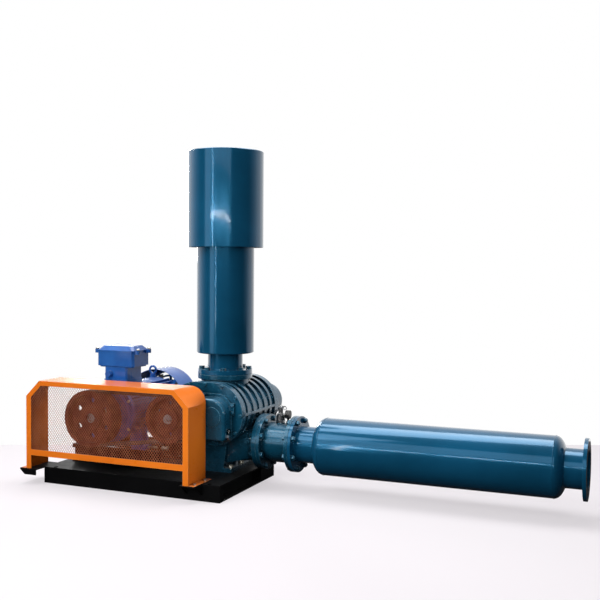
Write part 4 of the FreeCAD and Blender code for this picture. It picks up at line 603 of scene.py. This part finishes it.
# Nodes that are sprayed over together with what carries them, whatever their slot.
PAINTED_OVER = {"lifting_eye": Paint.MOTOR, "entry_plug": Paint.MOTOR,
                "motor_bush": Paint.PULLEY, "blower_bush": Paint.PULLEY}


# Meshes worked out from arrays

def add_object(name: str, data: bpy.types.ID) -> bpy.types.Object:
    """Put an object that shows the data into the scene."""
    made = bpy.data.objects.new(name, data)
    bpy.context.scene.collection.objects.link(made)
    return made


def finished_mesh(name: str, points: list, faces: list,
                  material: bpy.types.Material) -> bpy.types.Mesh:
    """Make a mesh with one finish.

    Args:
        name: Name of the mesh.
        points: Vertices in metres.
        faces: Vertex numbers of each face.
        material: Finish of every face.

    Returns:
        The new mesh.
    """
    mesh = bpy.data.meshes.new(name)
    mesh.from_pydata(points, [], faces)
    mesh.materials.append(material)
    return mesh


def mesh_piece(name: str, points: np.ndarray, faces: np.ndarray, slot: Paint,
               material: bpy.types.Material, smooth: bool = True) -> bpy.types.Object:
    """Make one mesh object that rides on the standing set.

    Args:
        name: Name of the piece.
        points: Vertices in metres, shape (n, 3).
        faces: Quads as vertex numbers, shape (m, 4).
        slot: Material slot of the record; not used.
        material: Finish of the piece.
        smooth: Whether its faces are shaded smooth.

    Returns:
        The new object.
    """
    mesh = finished_mesh(name, points.tolist(), faces.tolist(), material)
    mesh.polygons.foreach_set("use_smooth", np.full(len(mesh.polygons), smooth))
    mesh.update()
    piece = add_object(name, mesh)
    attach(piece, SET)
    return piece


def ring_faces(rings: int, sides: int, closed: bool) -> np.ndarray:
    """Quads between successive rings of vertices.

    Args:
        rings: Number of rings.
        sides: Vertices in each ring.
        closed: Whether the last ring joins the first.

    Returns:
        Vertex numbers, shape (m, 4).
    """
    last = rings if closed else rings - 1
    i, j = np.meshgrid(np.arange(last), np.arange(sides), indexing="ij")
    a = i * sides + j
    b = i * sides + (j + 1) % sides
    c = ((i + 1) % rings) * sides + (j + 1) % sides
    d = ((i + 1) % rings) * sides + j
    return np.stack([a, b, c, d], axis=-1).reshape(-1, 4)


@dataclass
class GuardMesh:
    """Expanded metal behind the window of the belt guard.

    The diamonds are pitch wide and twice the row spacing high, as measured on the photograph.
    corner is how much the sheet's upper corners are cut off, and shy the share of a strand's
    width by which its peaks stop short of half a row, so that neighbours overlap there.
    """

    pitch: float = 17.0 * MM
    row: float = 11.0 * MM
    strand: float = 3.0 * MM
    thickness: float = 1.2 * MM
    tilt: float = math.radians(28.0)
    corner: float = 80.0 * MM
    shy: float = 0.15

    def build(self, material: bpy.types.Material) -> bpy.types.Object:
        """Build the strands in place of the plain sheet.

        Strand j is a bar whose middle follows z(x) = z_j + (-1)^j a tri(x), where tri is a
        triangle wave of one pitch and a is a little under half a row, so that neighbours meet
        at their peaks and leave diamonds between them. Its flat section is turned by the tilt,
        as the press leaves it.

        Args:
            material: Finish of the mesh.

        Returns:
            The new piece.
        """
        low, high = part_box("guard_mesh")
        half = self.pitch / 2
        rows = int((high.z - low.z) / self.row)
        steps = int((high.x - low.x) / half)
        x = np.linspace(low.x, high.x, steps + 1)
        base = low.z + self.row / 2 + self.row * np.arange(rows)
        sign = np.where(np.arange(rows) % 2 == 0, 1.0, -1.0)
        wave = np.where(np.arange(steps + 1) % 2 == 0, 1.0, -1.0)
        reach = self.row / 2 - self.strand * self.shy
        middle = base[:, None] + sign[:, None] * wave[None, :] * reach
        lost = np.clip(middle - (high.z - self.corner), 0, None)
        inside = (x[None, :] >= low.x + lost) & (x[None, :] <= high.x - lost)
        wide = np.array([-1, 1, 1, -1]) * self.strand / 2
        thick = np.array([-1, -1, 1, 1]) * self.thickness / 2
        dz = wide * math.cos(self.tilt) - thick * math.sin(self.tilt)
        dy = wide * math.sin(self.tilt) + thick * math.cos(self.tilt)
        corners = len(wide)
        grid = np.empty((rows, steps + 1, corners, 3))
        grid[..., 0] = x[None, :, None]
        grid[..., 1] = (low.y + high.y) / 2 + dy[None, None, :]
        grid[..., 2] = middle[:, :, None] + dz[None, None, :]
        faces = ring_faces(steps + 1, corners, False).reshape(steps, corners, 4)
        keep = inside[:, :-1] & inside[:, 1:]
        offsets = np.arange(rows)[:, None, None, None] * (steps + 1) * corners
        quads = (faces[None] + offsets)[keep].reshape(-1, 4)
        piece = mesh_piece("guard_mesh_strands", grid.reshape(-1, 3), quads[:, ::-1],
                           Paint.GUARD, material, smooth=False)
        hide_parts("guard_mesh")
        return piece


@dataclass
class Bead:
    """Rippled weld bead, swept along a circle.

    size is half the bead's thickness and ripple the share by which it swells. The ripples are
    pitch apart, as a hand weld's are. count and sides are the steps round the circle and the bead.
    """

    centre: Vector
    along: Vector
    radius: float
    size: float = 2.6 * MM
    ripple: float = 0.16
    pitch: float = 6.0 * MM
    count: int = 240
    sides: int = 8

    def surface(self) -> tuple[np.ndarray, np.ndarray]:
        """Torus P(u, v) = centre + (R + r(u) cos v) e(u) + r(u) sin v n.

        e(u) turns round the axis n, and r(u) = size (1 + ripple cos k u) gives the ripples.

        Returns:
            Vertices and quads.
        """
        waves = int(self.radius * math.tau / self.pitch)
        normal = np.array(self.along.normalized())
        side = np.array(self.along.orthogonal().normalized())
        other = np.cross(normal, side)
        u = np.linspace(0, math.tau, self.count, endpoint=False)[:, None]
        v = np.linspace(0, math.tau, self.sides, endpoint=False)[None, :]
        thick = self.size * (1 + self.ripple * np.cos(waves * u))
        reach = self.radius + thick * np.cos(v)
        points = (np.array(self.centre)
                  + (reach * np.cos(u))[..., None] * side
                  + (reach * np.sin(u))[..., None] * other
                  + (thick * np.sin(v))[..., None] * normal)
        return points.reshape(-1, 3), ring_faces(self.count, self.sides, True)


@dataclass
class Welds:
    """Weld beads where the silencers' shells, dished ends, pipes and flanges meet.

    The discharge line lies along X at line_y and line_z, and the stack stands upright at
    stack_x and line_y. pipe and body are the radii that the beads run round, body_bead is half
    the thickness of those round the body, and the tuples are their places, all in metres.
    """

    line_y: float = 0.120
    line_z: float = 0.276
    stack_x: float = 0.391
    pipe: float = 109.5 * MM
    body: float = 170.2 * MM
    body_bead: float = 2.4 * MM
    body_x: tuple[float, ...] = (1.075, 2.412)
    pipe_x: tuple[float, ...] = (0.9085, 1.0265, 2.4605, 2.5645)
    neck_z: tuple[float, ...] = (0.7175, 0.8165)

    def beads(self) -> list[Bead]:
        """Every bead with its place."""
        up = Vector((0, 0, 1))
        east = Vector((1, 0, 0))
        found = [Bead(Vector((self.stack_x, self.line_y, z)), up, self.pipe)
                 for z in self.neck_z]
        found += [Bead(Vector((x, self.line_y, self.line_z)), east, self.pipe)
                  for x in self.pipe_x]
        found += [Bead(Vector((x, self.line_y, self.line_z)), east, self.body,
                       self.body_bead)
                  for x in self.body_x]
        return found

    def build(self, material: bpy.types.Material) -> bpy.types.Object:
        """Build all the beads as one piece.

        Args:
            material: Finish of the beads.

        Returns:
            The new piece.
        """
        points, faces, count = [], [], 0
        for bead in self.beads():
            ring_points, quads = bead.surface()
            points.append(ring_points)
            faces.append(quads + count)
            count += len(ring_points)
        return mesh_piece("weld_beads", np.concatenate(points), np.concatenate(faces),
                          Paint.SILENCER, material)


@dataclass
class GaugeDial:
    """White dial of the pressure gauge, with its scale, inside the case.

    The dial faces -X and stands at plane, round centre_y and centre_z. start is where its zero
    is and sweep how far the scale runs, in degrees. The marks part it into spaces, one mark in
    bold_each is bold, and the numbers count up to top in steps of step. rings, mark_from,
    mark_to and text_at are shares of the radius, and mark_from and mark_half are for bold and
    plain marks. ink is how far the print stands off the dial, so that it isn't drawn inside it.
    """

    plane: float = 0.8227
    centre_y: float = 0.120
    centre_z: float = 0.452
    radius: float = 22.0 * MM
    start: float = 225.0
    sweep: float = 270.0
    sides: int = 48
    rings: tuple[float, ...] = (0.02, 0.5, 1.0)
    spaces: int = 50
    bold_each: int = 5
    mark_from: tuple[float, float] = (0.76, 0.84)
    mark_to: float = 0.92
    mark_half: tuple[float, float] = (0.45 * MM, 0.25 * MM)
    top: int = 10
    step: int = 2
    text_size: float = 5.2 * MM
    text_at: float = 0.58
    ink: float = 0.05 * MM

    def place(self, right: np.ndarray, up: np.ndarray, lift: float) -> np.ndarray:
        """Turn dial coordinates, read from the front, into points in metres.

        Args:
            right: Distances to the reader's right.
            up: Distances upwards.
            lift: Height above the dial's face.

        Returns:
            Points, shape (n, 3).
        """
        return np.stack([np.full(right.shape, self.plane - lift), self.centre_y - right,
                         self.centre_z + up], axis=-1).reshape(-1, 3)

    def face(self) -> tuple[np.ndarray, np.ndarray]:
        """Disc P(u, v) = v R (cos u, sin u), from a small hole out to the rim."""
        u = np.linspace(0, math.tau, self.sides, endpoint=False)[None, :]
        v = np.array(self.rings)[:, None] * self.radius
        return self.place(v * np.cos(u), v * np.sin(u), 0.0), ring_faces(len(v), self.sides, False)

    def ticks(self) -> tuple[np.ndarray, np.ndarray]:
        """Radial marks along the scale, the bold ones longer and thicker."""
        k = np.arange(self.spaces + 1)
        angle = np.radians(self.start - self.sweep * k / self.spaces)
        bold = k % self.bold_each == 0
        inner = np.where(bold, *self.mark_from) * self.radius
        outer = np.full(len(k), self.mark_to * self.radius)
        half = np.where(bold, *self.mark_half)
        along = np.stack([np.cos(angle), np.sin(angle)], axis=-1)
        across = np.stack([-np.sin(angle), np.cos(angle)], axis=-1)
        corners = np.stack([inner[:, None] * along - half[:, None] * across,
                            outer[:, None] * along - half[:, None] * across,
                            outer[:, None] * along + half[:, None] * across,
                            inner[:, None] * along + half[:, None] * across], axis=1)
        points = self.place(corners[..., 0], corners[..., 1], self.ink)
        return points, np.arange(len(points)).reshape(-1, 4)

    def numeral(self, value: int) -> bpy.types.Mesh:
        """One plain number, placed inside the scale.

        Args:
            value: Number from 0 to the scale's top.

        Returns:
            Its flat mesh.
        """
        angle = math.radians(self.start - self.sweep * value / self.top)
        text = bpy.data.curves.new("numeral", "FONT")
        text.body = str(value)
        text.size = self.text_size
        text.align_x = text.align_y = "CENTER"
        holder = bpy.data.objects.new("numeral", text)
        mesh = bpy.data.meshes.new_from_object(holder)
        bpy.data.objects.remove(holder)
        flat = np.zeros(len(mesh.vertices) * 3)
        mesh.vertices.foreach_get("co", flat)
        flat = flat.reshape(-1, 3)
        reach = self.text_at * self.radius
        right = flat[:, 0] + reach * math.cos(angle)
        up = flat[:, 1] + reach * math.sin(angle)
        mesh.vertices.foreach_set("co", self.place(right, up, self.ink).ravel())
        return mesh

    def numerals(self, ink: bpy.types.Material) -> bpy.types.Object:
        """The scale's numbers as one piece.

        Args:
            ink: Material of the numbers.

        Returns:
            The new piece.
        """
        points, faces, count = [], [], 0
        for mesh in [self.numeral(value) for value in range(0, self.top + 1, self.step)]:
            points += [tuple(v.co) for v in mesh.vertices]
            faces += [tuple(i + count for i in face.vertices) for face in mesh.polygons]
            count = len(points)
        joined = finished_mesh("gauge_numerals", points, faces, ink)
        piece = add_object("gauge_numerals", joined)
        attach(piece, SET)
        return piece

    def build(self, ink: bpy.types.Material) -> None:
        """Build the dial, its marks and its numbers.

        Args:
            ink: Black material of the marks.
        """
        white = Moulding("white dial enamel", "#e6e5e0", "#efeee9", 0.35).build()
        mesh_piece("gauge_dial", *self.face(), Paint.GAUGE, white)
        mesh_piece("gauge_ticks", *self.ticks(), Paint.GAUGE, ink)
        self.numerals(ink)


# Studio

@dataclass(frozen=True)
class Lamp:
    """Rectangular studio lamp: its place, what it faces, its size in metres and its watts.

    spread is how wide it throws, in degrees; a narrow one is a lamp behind a honeycomb.
    """

    name: str
    place: tuple[float, float, float]
    aim: tuple[float, float, float]
    size: tuple[float, float]
    power: float
    spread: float = 180.0

    def build(self) -> None:
        """Add the lamp to the scene."""
        data = bpy.data.lights.new(self.name, "AREA")
        data.shape = "RECTANGLE"
        data.size, data.size_y = self.size
        data.energy = self.power
        data.spread = math.radians(self.spread)
        lamp = add_object(self.name, data)
        lamp.location = self.place
        facing = Vector(self.aim) - Vector(self.place)
        lamp.rotation_euler = facing.to_track_quat("-Z", "Y").to_euler()


@dataclass
class Studio:
    """Floor, light and the camera at the photograph's viewing angle.

    focal, image and middle are in pixels of a 600 pixel frame, and floor_row is the row at
    which the photograph's pale floor ends and its white background begins. floor_columns are
    the pixels at which that edge ends, far outside the frame, and floor_depth is how far the
    floor runs towards the camera. sky_span and floor_span are the distances towards the
    backdrop between which mirrored rays find the room dim and white. floor_lit is the share of
    the floor's tone that lamps light and floor_glow the share that shines by itself.
    """

    place: tuple[float, float, float] = (2.95676, -4.86939, 1.35353)
    yaw: float = -0.3911
    pitch: float = -0.0395
    roll: float = 0.0073
    focal: float = 890.12
    image: float = 600.0
    middle: tuple[float, float] = (300.34, 302.59)
    floor_row: float = 445.0
    floor_columns: tuple[float, float] = (-1500.0, 2100.0)
    floor_depth: float = 14.0
    floor_tone: str = "#faf5f9"
    floor_lit: float = 0.30
    floor_glow: float = 0.58
    floor_thrown: str = "#121213"
    floor_span: tuple[float, float] = (0.8, 3.5)
    sky_span: tuple[float, float] = (-0.2, 0.4)
    sky_tone: str = "#e9eef4"
    sky_fill: float = 0.05
    dim: float = 0.02
    sensor: float = 36.0
    far: float = 100.0
    lamps: list[Lamp] = field(default_factory=lambda: [
        Lamp("overhead", (0.2, 0.5, 4.6), (0.4, 0.1, 0.3), (5.0, 2.4), 290.0),
        Lamp("key", (-2.2, -3.4, 5.0), (0.2, 0.0, 0.6), (3.4, 2.6), 145.0),
        Lamp("tall panel", (-2.5, -5.3, 1.9), (0.39, 0.12, 1.4), (2.0, 3.4), 50.0),
        Lamp("panel", (1.9, -5.0, 3.7), (1.8, 0.12, 0.3), (7.0, 2.6), 120.0),
        Lamp("side", (4.0, -3.2, 1.0), (0.49, -0.36, 0.36), (0.3, 0.3), 0.30, 14.0),
        Lamp("rim", (-2.6, 3.4, 2.6), (0.39, 0.12, 1.5), (0.8, 2.4), 14.0, 60.0),
        Lamp("upright tube", (-1.0, -6.2, 1.8), (0.39, 0.12, 1.4), (0.08, 2.6), 30.0),
        Lamp("level tube", (1.9, -5.6, 2.0), (1.8, 0.12, 0.3), (7.0, 0.04), 85.0),
    ])

    def axes(self) -> tuple[Vector, Vector, Vector]:
        """Right, up and forward of the camera, from its turn, tilt and roll."""
        sy, cy = math.sin(self.yaw), math.cos(self.yaw)
        sp, cp = math.sin(self.pitch), math.cos(self.pitch)
        forward = Vector((sy * cp, cy * cp, sp))
        right = Vector((cy, -sy, 0))
        up = right.cross(forward)
        cr, sr = math.cos(self.roll), math.sin(self.roll)
        return right * cr + up * sr, up * cr - right * sr, forward

    def add_camera(self) -> None:
        """Place the camera from its turn, tilt and focal length in pixels."""
        right, up, forward = self.axes()
        data = bpy.data.cameras.new("camera")
        data.sensor_width = self.sensor
        data.lens = self.focal / self.image * self.sensor
        data.shift_x = (self.image / 2 - self.middle[0]) / self.image
        data.shift_y = (self.middle[1] - self.image / 2) / self.image
        data.clip_end = self.far
        camera = add_object("camera", data)
        rows = Matrix((right, up, -forward)).transposed().to_4x4()
        camera.matrix_world = Matrix.Translation(self.place) @ rows
        bpy.context.scene.camera = camera

    def floor_point(self, column: float, row: float) -> Vector:
        """Point of the floor that a pixel shows: where its ray comes down to z = 0.

        Args:
            column: Pixel column.
            row: Pixel row.

        Returns:
            The point in metres.
        """
        right, up, forward = self.axes()
        ray = (forward + right * ((column - self.middle[0]) / self.focal)
               - up * ((row - self.middle[1]) / self.focal))
        return Vector(self.place) - ray * (self.place[2] / ray.z)

    def seen_rays(self, tree: Tree, where: Socket, span: tuple[float, float]) -> Socket:
        """Factor of 1 for camera and transmission rays, and for the glossy ones that go back.

        The room stands white behind the object and dim before it, so a glossy ray's factor
        rises from dim to 1 with its distance along the backdrop's direction.

        Args:
            tree: Node tree that reads it.
            where: Position or direction that the ray meets.
            span: Distances at which the room is still dim and at which it is white.

        Returns:
            The factor's output.
        """
        forward = self.axes()[2]
        back = Vector((forward.x, forward.y, 0)).normalized()
        share = remap(tree, dot(tree, where, tuple(back)), span, (self.dim, 1.0))
        path = add_node(tree, "ShaderNodeLightPath").outputs
        glossy = combine(tree, "MULTIPLY", path["Is Glossy Ray"], share)
        first = combine(tree, "MAXIMUM", path["Is Camera Ray"], glossy)
        return combine(tree, "MAXIMUM", first, path["Is Transmission Ray"])

    def add_world(self) -> None:
        """White where it is seen, a quiet fill elsewhere."""
        world = bpy.data.worlds.new("studio")
        tree = bare_tree(world)
        fill = add_node(tree, "ShaderNodeBackground",
                        {"Color": linear(self.sky_tone), "Strength": self.sky_fill})
        white = add_node(tree, "ShaderNodeBackground", {"Color": (1, 1, 1, 1), "Strength": 1.0})
        seen = self.seen_rays(tree, coordinates(tree, "Generated"), self.sky_span)
        mix = add_node(tree, "ShaderNodeMixShader",
                       {"Fac": seen, 1: fill.outputs[0], 2: white.outputs[0]})
        add_node(tree, "ShaderNodeOutputWorld", {"Surface": mix.outputs[0]})
        bpy.context.scene.world = world

    def floor_material(self) -> bpy.types.Material:
        """Pale matt floor: partly lit by itself where it is seen, and dull towards the object."""
        material = bpy.data.materials.new("studio floor")
        tree = bare_tree(material)
        tone = linear(self.floor_tone)
        part = tuple(self.floor_lit * c for c in tone[:3]) + (1.0,)
        lit = add_node(tree, "ShaderNodeBsdfDiffuse", {"Color": part})
        glow = add_node(tree, "ShaderNodeEmission", {"Color": tone, "Strength": self.floor_glow})
        shown = add_node(tree, "ShaderNodeAddShader", {0: lit.outputs[0], 1: glow.outputs[0]})
        thrown = add_node(tree, "ShaderNodeBsdfDiffuse", {"Color": linear(self.floor_thrown)})
        seen = self.seen_rays(tree, coordinates(tree), self.floor_span)
        mix = add_node(tree, "ShaderNodeMixShader",
                       {"Fac": seen, 1: thrown.outputs[0], 2: shown.outputs[0]})
        add_node(tree, "ShaderNodeOutputMaterial", {"Surface": mix.outputs[0]})
        return material

    def add_floor(self) -> None:
        """Floor that ends behind the object, on the photograph's floor line."""
        left, right = (self.floor_point(column, self.floor_row)
                       for column in self.floor_columns)
        across = (right - left).normalized()
        nearer = Vector((across.y, -across.x, 0)) * self.floor_depth
        points = [tuple(p) for p in (left + nearer, right + nearer, right, left)]
        mesh = finished_mesh("floor", points, [(0, 1, 2, 3)], self.floor_material())
        floor = add_object("floor", mesh)

    def build(self) -> None:
        """Set up everything round the object."""
        self.add_camera()
        self.add_world()
        self.add_floor()
        for lamp in self.lamps:
            lamp.build()
        bpy.context.scene.view_settings.view_transform = "Standard"


def dress_frame(materials: dict[Paint, bpy.types.Material]) -> None:
    """Give every CAD node the finish of its slot, or the one sprayed over it.

    Args:
        materials: Built materials by slot.
    """
    slots = {part["node"]: part["material_slot"] for part in frame["record"]["subparts"]}
    for name, node in frame["nodes"].items():
        finish = materials[PAINTED_OVER.get(name, Paint(slots[name]))]
        if not node.material_slots:
            node.data.materials.append(finish)
        for place in node.material_slots:
            place.material = finish


def main() -> None:
    """Build the looks in order and report each piece."""
    logging.basicConfig(level=logging.INFO)
    Studio().build()
    materials = {slot: finish.build() for slot, finish in FINISHES.items()}
    dress_frame(materials)
    LOG.info("dressed %d nodes", len(frame["nodes"]))
    for maker, material in ((GuardMesh(), WEB.build()), (Welds(), materials[Paint.SILENCER])):
        piece = maker.build(material)
        LOG.info("%s: %d faces", piece.name, len(piece.data.polygons))
    GaugeDial().build(materials[Paint.GAUGE])
    LOG.info("gauge dial")


if __name__ == "__main__":
    main()
